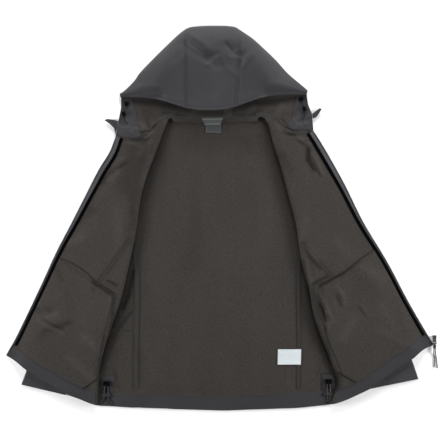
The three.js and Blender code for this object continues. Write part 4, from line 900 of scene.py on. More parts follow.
# Back. Three flat panels of lining-side softshell under the fronts, joined by two long seams that
# are covered with bonded tape; the hem is faced with the outer cloth.
PRINCESS = {
    "L": [(-214, -482), (-213, -300), (-212, -120), (-222, -20), (-252, 88)],
    "R": [(192, -482), (193, -300), (192, -120), (198, -20), (207, 88)],
}
BACK_HEM = [(-315, -466), (-219, -472), (-129, -475), (4, -479), (192, -473), (244, -467), (276, -463)]
BACK_NECK = [(-120, 244), (-70, 243), (50, 243), (88, 245)]
BACK_SHADES = [
    (-120, 190, -150, -250, 2.1, 26), (-60, 200, -70, -120, -1.1, 22), (10, 150, -10, -380, 1.7, 36),
    (90, 210, 110, -160, 1.8, 26), (60, -100, 90, -380, 1.3, 30), (-110, -260, -140, -400, 1.4, 26),
    (-70, 215, -110, 160, 1.4, 12), (50, 218, 85, 170, 1.4, 12)]


def back_level(x, y):
    """Height of the back's middle surface: flat where something lies on it, and slack in the middle."""
    left = np.array(FRONTS["L"]["sections"], float)[::-1]
    right = np.array(FRONTS["R"]["sections"], float)[::-1]
    slack = smoothstep(10, 60, x - np.interp(y, left[:, 1], left[:, 0]))
    slack *= smoothstep(10, 60, np.interp(y, right[:, 1], right[:, 0]) - x)
    slack *= smoothstep(8, 40, away_from(PRINCESS["L"], x, y)) * smoothstep(
        8, 40, away_from(PRINCESS["R"], x, y))
    slack *= smoothstep(-446, -410, y) * (1 - smoothstep(196, 228, y))
    return WALL / 2 + np.maximum(0, 0.8 + ridges(BACK_SHADES, x, y)) * slack


# Painted shadow and shade on the back: from x, y to x, y, share, width. The first rows are the painted
# shadows beside the two fronts' rolls.
BESIDE_FRONTS = 14  # the first hollows, which lie along the two fronts
BACK_PAINTED_SHADOWS = [
    (-124, 262, -160, 170, 0.7, 18), (-160, 170, -200, 49, 0.72, 20), (-200, 49, -224, -60, 0.7, 17),
    (-224, -60, -246, -175, 0.95, 15), (-246, -175, -273, -266, 0.95, 18), (-273, -266, -302, -370, 0.8, 16),
    (105, 250, 128, 191, 0.75, 13), (128, 191, 160, 85, 0.7, 13), (160, 85, 185, -11, 0.65, 13),
    (185, -11, 199, -103, 0.6, 15), (199, -103, 217, -171, 0.8, 15), (217, -171, 233, -242, 0.95, 17),
    (233, -242, 250, -295, 0.9, 16), (250, -295, 281, -385, 0.8, 14), (-110, 240, 80, 240, 0.34, 18),
    (-302, -385, -298, -440, 0.55, 9), (-232, -190, -247, -224, 1.2, 8), (-220, -130, -232, -185, 1.0, 8),
    (-262, -290, -284, -352, 0.7, 4), (-250, -262, -268, -330, 0.45, 4), (-278, -360, -262, -392, 0.4, 5),
    (236, -290, 262, -372, 0.6, 5), (226, -262, 238, -300, 0.6, 5), (256, -352, 240, -388, 0.4, 5),
    (-204, -330, -196, -400, 0.16, 12), (-304, -400, -302, -429, 0.8, 4), (-269, -378, -259, -418, 0.45, 5),
    (-300, -392, -268, -391, 0.4, 4), (250, -388, 251, -428, 0.6, 4), (251, -387, 281, -387, 0.6, 4),
    (281, -387, 288, -426, 0.7, 5), (283, -385, 280, -430, 0.55, 9), (-223, -231, -278, -304, 0.4, 6),
    (-90, 205, 85, 205, 0.34, 46), (-278, -272, -305, -382, 1.15, 6), (214, -176, 244, -290, 1.15, 6),
    (244, -290, 270, -356, 1.1, 6)]


def back_painted_shading(x, y):
    """The painted shadow on the back beside what lies on it, and the painted shade in the troughs of its
    slack.
    """
    soft = np.minimum(deepest(BACK_PAINTED_SHADOWS, x, y), 1.05)
    wide = [(*ends, depth * 0.5, width * 2.4) for *ends, depth, width in BACK_PAINTED_SHADOWS[:BESIDE_FRONTS]]
    slack = np.clip(-ridges(BACK_SHADES, x, y), 0, 1) * 0.14
    return np.max([soft, deepest(wide, x, y), slack], axis=0)


def on_back(xy, lift):
    return np.column_stack([xy, back_level(xy[:, 0], xy[:, 1]) + lift])


def side_seam(front, low, high):
    """The line where a front is sewn to the back."""
    line = front_surface(front, np.full(80, -2.0), np.linspace(0, 1, 80))[:, :2]
    return line[(line[:, 1] < high) & (line[:, 1] > low)]


left_seam = side_seam(FRONTS["L"], -460, 182)
right_seam = side_seam(FRONTS["R"], -456, 202)
cuts = {}
for side, line in PRINCESS.items():
    cut = smooth_line(line, 60)
    cuts[side] = cut[cut[:, 1] > by_x(BACK_HEM, cut[:, 0]) + 0.5]
GAP = (0.02, 0)
BACK_PARTS = {
    "back_side_L": [BACK_HEM[:2], cuts["L"] - GAP, left_seam[left_seam[:, 1] < 86]],
    "back_side_R": [BACK_HEM[5:], right_seam[right_seam[:, 1] < 86][::-1], cuts["R"][::-1] + GAP],
    "back_centre": [BACK_HEM[2:4], cuts["R"] - GAP, right_seam[right_seam[:, 1] > 92][::-1],
                    [(205, 205), (181, 213), (161, 218), (143, 233), (123, 246), (99, 254.2), (92, 254.2)],
                    BACK_NECK[::-1], [(-123, 251.2), (-130, 251.2)],
                    [(-150, 238), (-163, 225), (-178, 208), (-195, 196), (-219, 192)],
                    left_seam[left_seam[:, 1] > 92], cuts["L"][::-1] + GAP],
}
# The back's panels carry its painted shadow and shade.
for name, parts in BACK_PARTS.items():
    panel = patch(name + "_cloth", np.vstack(parts), 4, on_back, fleece, 0, WALL, painted_shading_of=back_painted_shading)
    flat, area = ((0.46, 0.73), 0.29) if name == "back_centre" else ((0.1, 0.57), 0.045)
    lay(panel, "lining", name, flat, area=area)
FACING_TOP = [(-304, -436), (-219, -439), (-129, -441), (4, -446), (192, -435), (262, -432)]
facing_foot = [(min(max(x, -303), 264), y + 1) for x, y in BACK_HEM]
# Painted shadows of the hem's cords, blocks and bars on the cloth round them: from x, y to x, y, share,
# width.
PAINTED_CORD_SHADOWS = [(x1, y1, x2, y2, 1.25, 3.4) for route in HEM_CORDS.values()
               for (x1, y1, _), (x2, y2, _) in zip(route[:-1], route[1:])]
PAINTED_CORD_SHADOWS += [
    (-294, -411, -280, -411, 1.0, 9), (260, -406, 274, -406, 1.0, 9), (-298, -441, -278, -441, 1.1, 6),
    (256, -438, 277, -438, 1.1, 6), (-288, -418, -288, -437, 1.3, 5), (267.5, -413, 268, -433, 1.3, 5)]


def painted_shade_by_cords(x, y):
    """The painted shadow under and close beside the hem's cords, over the back's own painted shading."""
    return np.maximum(back_painted_shading(x, y), deepest(PAINTED_CORD_SHADOWS, x, y))


# The back's hem facing carries the painted shadows of the hem's cords.
back_facing = patch("hem_facing_back_cloth", np.vstack([FACING_TOP, facing_foot[::-1]]), 2.4, on_back,
                    facing_cloth, painted_shading_of=painted_shade_by_cords)
lay(back_facing, "facing", "hem_facing_back", (0.57, 0.035), area=0.019)
# half of the width that shows, and the flat width in metres
BACK_TAPES = {"L": (6.5, 0.013), "R": (4.5, 0.01)}
tape_lines = []
for side, (half, flat_width) in BACK_TAPES.items():
    line = cuts[side][(cuts[side][:, 1] > -431) & (cuts[side][:, 1] < -76)]

    def tape_relief(x, y):
        return 0.5 * np.exp(-(((away_from(line, x, y) - half + 1.2) / 1.2) ** 2))

    outline = np.vstack([beside(line, -half), beside(line, half)[::-1]])
    tape = patch("back_tape_band_" + side, outline, 2.2, on_back, seam_tape, relief_of=tape_relief,
                 painted_shading_of=back_painted_shading)
    lay(tape, "lining", "back_tape_" + side, (flat_width, 0.357), area=2 * half / 1000 * 0.357,
        rests_on=["back_centre_cloth"])
    tape_lines += [beside(line, half - 0.6), beside(line, 0.6 - half)]
sewn("back_stitches", tape_lines, on_back, TRIM_TOP + 0.2, dark_thread, 1.9, 1.6, 0.42)
sewn("back_facing_stitches", [beside(FACING_TOP[1:-1], -2.2)], on_back, TRIM_TOP + 0.1, dark_thread)
BACK_PLEAT = [(-223, -231), (-255, -272), (-278, -304)]
pleat = [beside(BACK_PLEAT, -2.4), beside(BACK_PLEAT, 2.4), [(-242, -279), (-228, -279)]]
sewn("back_pleat_stitches", pleat, on_back, WALL / 2 + 0.3, dark_thread, 1.9, 1.6, 0.5)

# Sleeves. Flat tubes of softshell that lie under the fronts, outside out, from the armhole to the
# cuff, of which only the ends show below the fronts' hem.
SLEEVE_HALF = 2.3
ARMHOLE_CUT = (-3.0, 9.0)  # from and to which height the sleeve ends at the armhole
CUFF_CREASES = {
    "L": [(-470, -350, -440, -420, 0.7, 10), (-430, -380, -415, -432, -0.5, 10)],
    "R": [(460, -340, 430, -405, 0.7, 10), (415, -370, 400, -415, -0.5, 10)],
}
shell_cloth = weave_finish("shell_twill", rgb(31, 31, 33), rgb(50, 50, 53), 1.2, roughness=0.68, turn=0.785)


def apply_all(piece):
    """Applies a piece's modifiers in their order."""
    choose(piece)
    for modifier in list(piece.modifiers):
        bpy.ops.object.modifier_apply(modifier=modifier.name)


def cut_away(piece, *tools):
    """Takes other solids out of a piece."""
    for tool in tools:
        cut = piece.modifiers.new("cut", "BOOLEAN")
        cut.operation, cut.solver, cut.object = "DIFFERENCE", "EXACT", tool
        apply_all(piece)
        bpy.data.objects.remove(tool)


for side, front in FRONTS.items():
    stations = 60
    outer, inner = smooth_line(front["sleeve_out"], stations), smooth_line(front["sleeve_in"], stations)
    width = np.linalg.norm(inner - outer, axis=1)
    toward = (inner - outer) / width[:, None]
    radius = SLEEVE_HALF - WALL / 2
    flat_run = np.linspace(0, 1, 26)
    turns = np.linspace(0, math.pi, 7)[1:-1]
    ring_along = np.concatenate([flat_run, 1 + turns * 0, flat_run[::-1], turns * 0])
    ring_out = np.concatenate([flat_run * 0, np.sin(turns), flat_run * 0, -np.sin(turns)])
    ring_up = np.concatenate([flat_run * 0 + 1, np.cos(turns), flat_run * 0 - 1, -np.cos(turns)])
    along = (SLEEVE_HALF + ring_along[None] * (width - 2 * SLEEVE_HALF)[:, None]) + ring_out[None] * radius
    xy = outer[:, None] + toward[:, None] * along[..., None]
    z = np.tile(SLEEVE_HALF + ring_up[None] * radius, (len(xy), 1))
    crease = ridges(CUFF_CREASES[side], xy[..., 0].ravel(), xy[..., 1].ravel()).reshape(z.shape)
    z = z + np.where(ring_up[None] > 0.9, crease, 0)
    around = len(ring_up)
    points = np.concatenate([xy, z[..., None]], axis=2).reshape(-1, 3)
    sleeve = mesh_piece("sleeve_tube_" + side, page(points), tube_faces(stations, around), shell_cloth)
    thicken(sleeve, WALL)
    seam_edge = side_seam(front, -600, 600)
    inward = front["inward"]
    ground = np.vstack([seam_edge - (inward * SEAM, 0), (seam_edge + (inward * 200, 0))[::-1]])[::inward]
    count = len(ground)
    cutter_points = np.vstack([np.column_stack([ground, np.full(count, z)]) for z in ARMHOLE_CUT])
    cutter_faces = [tuple(range(count))[::-1], tuple(range(count, 2 * count)), *tube_faces(1, count)]
    cutter = mesh_piece("armhole_cut", page(cutter_points), cutter_faces, shell_cloth)
    cut_away(sleeve, cutter)
    lay(sleeve, "shell", "sleeve_" + side, (0.24, 0.62), area=0.125)
    rows = [outer[-k] + (inner[-k] - outer[-k]) * np.linspace(0.03, 0.97, 30)[:, None] for k in (3, 4)]
    sewn("cuff_stitches_" + side, rows, lambda xy, lift: np.column_stack([xy, np.full(len(xy), lift)]),
         2 * SLEEVE_HALF + 0.05, dark_thread, 2.6, 2.0, 0.3)

# Hood. Three outer panels joined by two double-stitched seams, folded over towards the brim, so
# that they stand as a low dome over the hood's lining.
HOOD_LOW, HOOD_DOME, HOOD_ROLL = 9, 31, 52  # height at its ends, what the crown adds, width of the roll
HOOD_PARTS = {
    "hood_side_L": dict(
        edge=[
            (-254, 312), (-244, 318), (-216, 346), (-206, 361), (-170, 399), (-131, 437), (-103, 463),
            (-88, 474)],
        brim=[(-252, 303), (-224, 304), (-195, 302), (-160, 297), (-131, 289), (-88, 275)], across=80),
    "hood_centre": dict(
        edge=[(-88, 474), (-76, 478), (-11, 481), (34, 478), (46, 471)],
        brim=[(-88, 275), (-62, 271), (-38, 270), (4, 272), (36, 279)], across=64),
    "hood_side_R": dict(
        edge=[(46, 471), (78, 449), (109, 421), (134, 397), (167, 361), (199, 334), (215, 320)],
        brim=[(36, 279), (78, 294), (112, 304), (146, 309), (180, 311), (212, 310)], across=80),
}
HOOD_FOLDS = [
    (-88, 430, -41, 397, -3.6, 11), (-70, 447, -30, 418, 3, 12), (-36, 407, -10, 377, -3.6, 10),
    (14, 427, 48, 405, -3.6, 12), (46, 357, 72, 400, 3.6, 12), (46, 357, 40, 397, -3, 10),
    (-235, 318, -170, 326, 6, 13), (130, 330, 200, 332, 6, 14), (-196, 312, -150, 306, -2.5, 9),
    (110, 312, 170, 320, -2.5, 9)]
HOOD_CREASES = [
    (-86, 432, -44, 400, 2.4, 4.2), (-84, 452, -46, 425, -1.6, 4.2), (-44, 400, -10, 408, -2.1, 4.2),
    (-36, 380, -8, 400, 2.4, 4.2), (-8, 400, 4, 376, -2, 4.2), (-60, 412, -30, 386, -1.6, 4.2),
    (12, 432, 30, 412, -2.7, 4.2), (30, 412, 48, 418, 2.1, 4.2), (20, 400, 46, 396, 2, 5.1),
    (46, 357, 40, 398, 1.6, 3.4), (46, 357, 52, 402, -1.6, 3.4), (46, 357, 62, 402, 1.9, 3.4),
    (46, 357, 78, 398, -1.6, 4.2), (40, 352, 16, 372, 1.2, 5.1), (-88, 405, -120, 380, 1.2, 6.8),
    (-200, 330, -236, 318, 1.6, 6), (160, 330, 200, 322, 1.6, 6), (170, 345, 130, 372, 1, 7.6),
    (-150, 390, -110, 420, 1, 8.5), (90, 420, 120, 396, 1, 7.6), (-20, 300, 10, 330, 0.8, 11.9)]


def hood_surface(part, a, k, shift):
    """Points of a hood panel's middle surface. a runs across it and k from the fold, at 0, over the
    rounded edge, to 1, and on to the brim, at 2."""
    edge, brim = smooth_line(part["edge"], 200), smooth_line(part["brim"], 200)
    at = np.clip(a, 0, 1) * 200
    start = np.stack([np.interp(at, np.arange(201), edge[:, j]) for j in (0, 1)], axis=1)
    end = np.stack([np.interp(at, np.arange(201), brim[:, j]) for j in (0, 1)], axis=1)
    length = np.linalg.norm(end - start, axis=1)
    rise = HOOD_LOW + HOOD_DOME * smoothstep(0, 150, length)
    roll = np.minimum(HOOD_ROLL, 0.55 * length)
    angle = np.clip(k, 0, 1) * math.pi / 2
    run = np.clip(k - 1, 0, 1)
    away = roll * (1 - np.cos(angle)) + run * (length - roll)
    z = np.where(k < 1, rise * np.sin(angle), rise * (1 - 0.42 * smoothstep(0, 1, run)))
    xy = start + (end - start) * (away / length)[:, None] + np.array([1, 0]) * np.reshape(shift, (-1, 1))
    ripple = ridges(HOOD_FOLDS + HOOD_CREASES, xy[:, 0], xy[:, 1]) * smoothstep(20, 90, length)
    return np.column_stack([xy, z + ripple * smoothstep(0.35, 0.8, k)])


hood_rows = np.concatenate([np.linspace(0, 1, 26)[:-1], np.linspace(1, 2, 62)])
hood_trees = []
for name, part in HOOD_PARTS.items():
    across = part["across"]
    a, k = np.meshgrid(np.linspace(0, 1, across), hood_rows, indexing="ij")
    shift = np.where(a == 0, 0 if name == "hood_side_L" else 0.1, 0) + np.where(
        a == 1, 0 if name == "hood_side_R" else -0.1, 0)
    points = hood_surface(part, a.ravel(), k.ravel(), shift.ravel())
    seams = np.ones(len(points)) * 99
    if name != "hood_side_L":
        seams = np.minimum(seams, np.abs(a.ravel()) * 130)
    if name != "hood_side_R":
        seams = np.minimum(seams, np.abs(1 - a.ravel()) * 130)
    points[:, 2] += np.where(k.ravel() > 0.4, 0.5 * np.exp(-((seams - 4) / 2.5) ** 2), 0)
    faces = grid_faces(across, len(hood_rows))
    # painted shade in the hood's creases and painted highlight on their crests, with a thin darker line along
    # each seam
    painted_shading = np.clip(-ridges(HOOD_CREASES, points[:, 0], points[:, 1]) / 7, -0.3, 0.2)
    in_seam = (k.ravel() > 0.4) & (seams < 3)
    painted_shading = np.maximum(painted_shading, np.where(in_seam, 0.1 * np.exp(-((seams / 0.9) ** 2)), -1))
    panel = mesh_piece(name + "_shell", page(points), faces, shell_cloth, painted_shading=painted_shading)
    hood_trees.append(BVHTree.FromPolygons([tuple(p) for p in points], [tuple(f) for f in faces.tolist()]))
    thicken(panel, WALL)
    for vertex in panel.data.vertices:
        vertex.co.z = max(vertex.co.z, 0)
    flat, area = ((0.18, 0.24), 0.024) if "side" in name else ((0.14, 0.23), 0.029)
    lay(panel, "shell", name, flat, "folded", area=area)


def on_hood(xy, lift):
    """Places points over the hood's outer panels."""
    out = []
    for x, y in xy:
        spots = [tree.ray_cast((x + aside, y, 200), (0, 0, -1))[0]
                 for tree in hood_trees for aside in (-0.4, 0, 0.4)]
        out.append((x, y, max([spot.z for spot in spots if spot], default=-1) + lift))
    return np.array(out)


HOOD_SEAMS = [((-88, 474), (-88, 275)), ((46, 471), (36, 279))]
t = np.linspace(0.12, 0.99, 60)
hood_lines = []
for (x1, y1), (x2, y2) in HOOD_SEAMS:
    for off in (-3.2, 3.2):
        hood_lines.append(np.column_stack([x1 + off + t * (x2 - x1), y1 + t * (y2 - y1)]))
brim_line = np.vstack([smooth_line(part["brim"], 40)[:-1] for part in HOOD_PARTS.values()])
hood_lines.append(beside(brim_line, 8)[2:-2])
hood_lines = [line[on_hood(line, 0)[:, 2] > 4] for line in hood_lines]
sewn("hood_stitches", hood_lines, on_hood, WALL / 2 + 0.15, dark_thread, 2.6, 2.0, 0.3)

# Lower layer of the hood, lining up, from the crown to the neck seam, where it rises with the
# fronts. Its opening is faced with outer cloth, and a guard stands at each chin end of the zip.
NECK_RISE = [[(-247, 201), (-195, 205), (-163, 232), (-140, 250)], [
    (222, 221), (181, 220), (143, 242), (110, 254)]]
NECK_CREASES = [
    (-262, 243, -238, 233, -1.8, 4), (-262, 232, -236, 224, 1.8, 6), (-246, 252, -228, 240, 1.4, 5),
    (206, 250, 226, 262, 1.6, 4), (208, 242, 224, 255, -1.6, 4), (188, 236, 214, 240, 1.4, 5),
    (186, 246, 206, 232, -1.2, 4), (176, 250, 190, 236, 1.2, 4), (17, 262, 15, 284, 5.4, 7),
    (-179, 222, -205, 236, 2.3, 4), (-179, 222, -200, 214, -2.2, 4), (-179, 222, -165, 240, 2.2, 4),
    (-179, 222, -186, 246, -1.8, 5), (-179, 222, -220, 224, 1.8, 4), (-179, 222, -158, 232, -1.8, 4),
    (165, 232, 190, 250, 2.2, 5), (165, 232, 150, 246, -1.8, 4), (180, 228, 210, 236, 1.8, 5),
    (-240, 240, -225, 215, 2.2, 5), (-150, 246, -120, 262, 1.8, 7), (-80, 256, -60, 275, 1.3, 7),
    (60, 256, 80, 280, 1.4, 8), (130, 250, 150, 280, 1.6, 9)]
FACE_EDGE_L = [(-251, 303), (-251, 277), (-257, 246), (-262, 222)]
FACE_EDGE_R = [(228, 236), (226, 262), (217, 284), (213, 306)]


def neck_level(x, y):
    """Height of the lower layer's middle surface."""
    lift = sum(6 * np.exp(-((away_from(line, x, y) / 34) ** 2)) for line in NECK_RISE)
    return WALL / 2 + lift + np.maximum(ridges(NECK_CREASES, x, y), -0.7 * lift)


# Painted shadow under the hood's brim and painted shade near the neck: from x, y to x, y, share, width.
NECK_PAINTED_SHADOWS = [
    (-250, 298, -160, 290, 0.8, 10), (-160, 290, -110, 277, 0.8, 10), (-110, 277, -40, 264, 0.8, 10),
    (-40, 264, 10, 266, 0.8, 10), (10, 266, 80, 288, 0.8, 10), (80, 288, 212, 303, 0.8, 10),
    (-140, 258, 100, 258, 0.4, 14), (17, 256, 15, 280, 0.6, 4), (-192, 262, -150, 252, 0.3, 12),
    (120, 262, 176, 262, 0.3, 12)]


def neck_painted_shading(x, y):
    """The painted shading of the lower layer: painted shade in its creases, painted highlight on their crests
    and painted shadow under the hood's brim.
    """
    creased = np.clip(-ridges(NECK_CREASES, x, y) / 5, -0.35, 0.5)
    return np.minimum(creased + deepest(NECK_PAINTED_SHADOWS, x, y), 0.95)


def on_neck(xy, lift):
    return np.column_stack([xy, neck_level(xy[:, 0], xy[:, 1]) + lift])


neck_seam = np.vstack([smooth_line(FRONTS["L"]["neck"], 40), [(-123, 251.5)], BACK_NECK, [(92, 254.5)],
                       smooth_line(FRONTS["R"]["neck"], 40)[::-1]])
crown = beside(np.vstack([smooth_line(HOOD_PARTS["hood_side_L"]["edge"], 30),
                          smooth_line(HOOD_PARTS["hood_centre"]["edge"], 12)[1:-1],
                          smooth_line(HOOD_PARTS["hood_side_R"]["edge"], 30)]), -2.6)
outline = np.vstack([beside(neck_seam, 0.05), FACE_EDGE_R, crown[::-1], FACE_EDGE_L])
# The lower layer and its facings carry painted shade, shadow and highlight.
lower = patch("hood_lining_cloth", outline, 3, on_neck, fleece, 0, WALL, painted_shading_of=neck_painted_shading)
lay(lower, "lining", "hood_neck", (0.48, 0.28), area=0.086)
HOOD_FACINGS = {
    "L": [(x + 0.5, y) for x, y in FACE_EDGE_L] + [
        (-262, 209), (-247, 203.5), (-219, 202.5), (-201, 205), (-205, 224), (-210, 247), (-214, 264),
        (-222, 296), (-224, 303)],
    "R": [(x - 0.5, y) for x, y in FACE_EDGE_R] + [
        (187, 306), (184, 290), (177, 251), (165, 228), (180, 222), (205, 223), (227, 224)],
}
CHIN_GUARDS = {
    "L": [
        (-265, 210), (-268, 226), (-279, 237), (-293, 246.4), (-284, 249), (-269, 247.3), (-257.9, 243.8),
        (-262.4, 222)],
    "R": [(227.3, 250), (226.4, 261.5), (236, 269.5), (245, 276), (250.3, 274), (243, 262), (236, 253)],
}
for side, outline in HOOD_FACINGS.items():
    facing = patch("hood_facing_cloth_" + side, outline, 3, on_neck, facing_cloth, painted_shading_of=neck_painted_shading)
    lay(facing, "facing", "hood_facing_" + side, (0.06, 0.11), area=0.0042, rests_on=[lower.name])


def guard_place(xy, lift):
    """A guard's cloth, which curls up a little towards its tip."""
    reach = np.abs(xy[:, 0] - np.where(xy[:, 0] < 0, -262, 228))
    return np.column_stack([xy, 4.0 + lift + 0.004 * reach**2])


for side, outline in CHIN_GUARDS.items():
    guard = patch("chin_guard_cloth_" + side, outline, 2, guard_place, facing_cloth, 0, WALL)
    flat, area = ((0.035, 0.04), 0.0006) if side == "L" else ((0.024, 0.026), 0.0003)
    lay(guard, "facing", "chin_guard_" + side, flat, area=area)

# Neck tape, hanger loop and the two labels. Grey woven tape covers the neck seam and makes the
# loop; both labels are plain satin with a sewn edge.
tape_base = neck_seam[(neck_seam[:, 0] > -196) & (neck_seam[:, 0] < 160)]
middle = smoothstep(-150, -110, tape_base[:, 0]) * (1 - smoothstep(80, 120, tape_base[:, 0]))
tape_top = beside(tape_base, 9) + np.column_stack([middle * 0, middle * 4])
outline = np.vstack([beside(tape_base, -1.2), tape_top[::-1]])
neck_tape = patch("neck_tape_band", outline, 2.2, on_neck, seam_tape)
lay(neck_tape, "neck_tape", "neck_tape", (0.014, 0.37), rests_on=[lower.name])
neck_rows = [beside(tape_base, 2.4), beside(tape_base, 7.4),
             beside(smooth_line(FRONTS["L"]["neck"], 40), 4)[2:22]]
sewn("neck_stitches", neck_rows, on_neck, TRIM_TOP + 0.1, dark_thread)
LOOP = [(-50, 252), (-43, 234), (-2, 235), (5, 253)]


def loop_place(xy, lift):
    return np.column_stack([xy, np.full(len(xy), 3.56) + lift + 0.9 * np.sin((xy[:, 0] + 50) / 55 * math.pi)])


loop_tape = weave_finish("loop_tape", rgb(48, 51, 50), rgb(72, 76, 74), 0.8)
loop = patch("hanger_loop_band", LOOP, 2, loop_place, loop_tape, 0)
lay(loop, "neck_tape", "hanger_loop", (0.055, 0.018), area=0.00087, rests_on=[neck_tape.name])
dark_satin = weave_finish("dark_satin", rgb(34, 36, 38), rgb(50, 52, 55), 0.5, roughness=0.55)
white_satin = weave_finish("white_satin", rgb(160, 167, 170), rgb(186, 193, 196), 0.5, roughness=0.55)
pale_thread = new_finish("pale_thread", rgb(186, 186, 184), 0.6)[0]
loop_thread = new_finish("loop_thread", rgb(122, 130, 128), 0.7, gloss=0.1)[0]
grey_thread = new_finish("grey_thread", rgb(96, 98, 101), 0.7, gloss=0.1)[0]
loop_rows = [[(-47, 248), (2, 249)], [(-41.5, 236), (-3.5, 236.8)]]
sewn("hanger_loop_stitches", loop_rows, loop_place, TRIM / 2 + 0.2, loop_thread, 2.0, 1.7, 0.5, "neck_tape")
NECK_LABEL = [(-39, 240), (-39, 215), (-1, 214), (-1, 240)]
CARE_LABEL = [(141, -326), (140, -364), (198, -364), (199, -326)]
neck_label = patch("neck_label_satin", NECK_LABEL, 2, on_back, dark_satin)
lay(neck_label, "dark_label", "neck_label", (0.038, 0.025), rests_on=["back_centre_cloth"])
label_rows = [[(-37.5, 216.5), (-2.5, 215.5)], [(-37.5, 238), (-37.5, 217)], [(-2.5, 238), (-2.5, 216)]]
sewn("neck_label_stitches", label_rows, on_back, TRIM_TOP + 0.1, grey_thread, 2.0, 1.4, 0.3, "dark_label")
care_label = patch("care_label_satin", CARE_LABEL, 2, on_back, white_satin, LAYER + TRIM + SEAM)
lay(care_label, "white_label", "care_label", (0.058, 0.038), rests_on=["back_centre_cloth"])
label_edge = [(143, -328), (142, -362), (196, -362), (197, -328), (143, -328)]
sewn("care_label_stitches", [label_edge[i:i + 2] for i in range(4)], on_back, LAYER + TRIM * 1.5 + SEAM + 0.1,
     pale_thread, 2.4, 1.7, 0.2, "white_label")

# Patches under the hem's drawcord units. They are small squares of outer cloth, sewn on to the
# back's side panels.
HEM_PATCHES = {"L": [(-300, -395), (-300, -432), (-270, -433), (-268, -394)],
               "R": [(251, -390), (252, -424), (284, -424), (281, -391)]}
# Each patch carries the painted shadows of its cords and their hardware.
for side, outline in HEM_PATCHES.items():
    piece = patch("hem_patch_cloth_" + side, outline, 1.2, on_back, facing_cloth, painted_shading_of=painted_shade_by_cords)
    lay(piece, "facing", "hem_patch_" + side, (0.031, 0.038), rests_on=["back_side_%s_cloth" % side])

# Hard pieces of the drawcords. Every one is moulded nylon: blocks with two sockets and bars with two
# holes at the hem, and rings and small locks with a ribbed top on the hood's facings.
HEM_BLOCK = (16, 11, 4.6)
HEM_BAR = (23, 6, 4.4)
HOOD_LOCK = (9, 11, 6)
LOCK_TURN = 0.3
FACING_TOP_LEVEL = 3.1


def moulded_nylon(name, colour, light):
    """Moulded nylon with a fine grain and cloudy shades."""
    finish, tree, shader, coordinates = new_finish(name, colour, 0.55, gloss=0.05)
    grain = noise(tree, coordinates.outputs["Object"], 1400, 3)
    cloud = noise(tree, coordinates.outputs["Object"], 160, 3)
    value = sum_of(tree, cloud, grain, 0.3)
    tree.links.new(tones(tree, value, 0.4, 0.9, colour, light), shader.inputs["Base Color"])
    relief(tree, shader, grain, 0.0001, 0.5)
    return finish


black_nylon = moulded_nylon("black_nylon", rgb(1, 1, 1), rgb(4, 4, 4))
grey_nylon = moulded_nylon("grey_nylon", rgb(28, 31, 30), rgb(46, 50, 48))


def cube(name, x, y, bottom, size, turn=0.0):
    """A block at its place on the page, with its size in millimetres."""
    bpy.ops.object.select_all(action="DESELECT")
    bpy.ops.mesh.primitive_cube_add(size=1, location=page([(x, y, bottom + size[2] / 2)])[0],
                                    rotation=(0, 0, turn), scale=[v / 1000 for v in size])
    piece = bpy.context.object
    piece.name = name
    bpy.ops.object.transform_apply(location=True, rotation=True, scale=True)
    return piece


def rod(name, x, y, z, radius, length, turn=(0, 0, 0), vertices=32):
    """A round bar about its middle, upright unless it is turned."""
    bpy.ops.object.select_all(action="DESELECT")
    bpy.ops.mesh.primitive_cylinder_add(vertices=vertices, radius=radius / 1000, depth=length / 1000,
                                        location=page([(x, y, z)])[0], rotation=turn)
    piece = bpy.context.object
    piece.name = name
    bpy.ops.object.transform_apply(location=True, rotation=True, scale=True)
    return piece


def rounded(piece, by, segments=3):
    """Rounds a piece's edges by some millimetres."""
    edges = piece.modifiers.new("edges", "BEVEL")
    edges.width, edges.segments, edges.limit_method = by / 1000, segments, "ANGLE"
    apply_all(piece)


def pick_face(piece, how_far):
    """Opens a block for a change of one face, the one that lies farthest out."""
    choose(piece)
    bpy.ops.object.mode_set(mode="EDIT")
    bpy.ops.mesh.select_all(action="DESELECT")
    bpy.ops.object.mode_set(mode="OBJECT")
    max(piece.data.polygons, key=how_far).select = True
    bpy.ops.object.mode_set(mode="EDIT")
    bpy.ops.mesh.select_mode(type="FACE")


def recessed(piece, margin, depth):
    """Sinks the middle of a block's top face inside a margin."""
    pick_face(piece, lambda face: face.center.z)
    bpy.ops.mesh.inset(thickness=margin / 1000, depth=-depth / 1000)
    bpy.ops.object.mode_set(mode="OBJECT")


def finished(piece, finish, slot, node, body="root"):
    """Gives a hard piece its smooth shading, its finish and its place in the model."""
    choose(piece)
    bpy.ops.object.shade_smooth_by_angle(angle=math.radians(40))
    piece.data.materials.clear()
    piece.data.materials.append(finish)
    declare(piece, slot, node, body=body)


HEM_UNITS = {"L": ((-287, -411), (-288, -441), (-293, -283)), "R": ((267, -406), (266.5, -438), (264, 272))}
for side, ((bx, by), (lx, ly), holes) in HEM_UNITS.items():
    block = cube("hem_eyelet_block_" + side, bx, by, FACING_TOP_LEVEL, HEM_BLOCK)
    cut_away(block, *[cube("socket", bx + dx, by + dy, FACING_TOP_LEVEL + 1.6, (5, 6.4, 6))
                      for dx, dy in ((-4, 0.8), (4, -0.8))])
    rounded(block, 0.6)
    finished(block, black_nylon, "hardware", "hem_eyelet_" + side)
    bar = cube("hem_lock_bar_" + side, lx, ly, FACING_TOP_LEVEL, HEM_BAR)
    recessed(bar, 1.3, 0.5)
    rounded(bar, 0.7)
    cut_away(bar, *[rod("hole", x, ly, 4.85, 1.5, 12, (math.pi / 2, 0, 0)) for x in holes])
    finished(bar, grey_nylon, "hardware", "hem_lock_" + side)
HOOD_UNITS = {"L": ((-237, 287), (-244, 262), HOOD_CORDS["hood_cord_L"]),
              "R": ((199, 299), (207, 274), HOOD_CORDS["hood_cord_R"])}
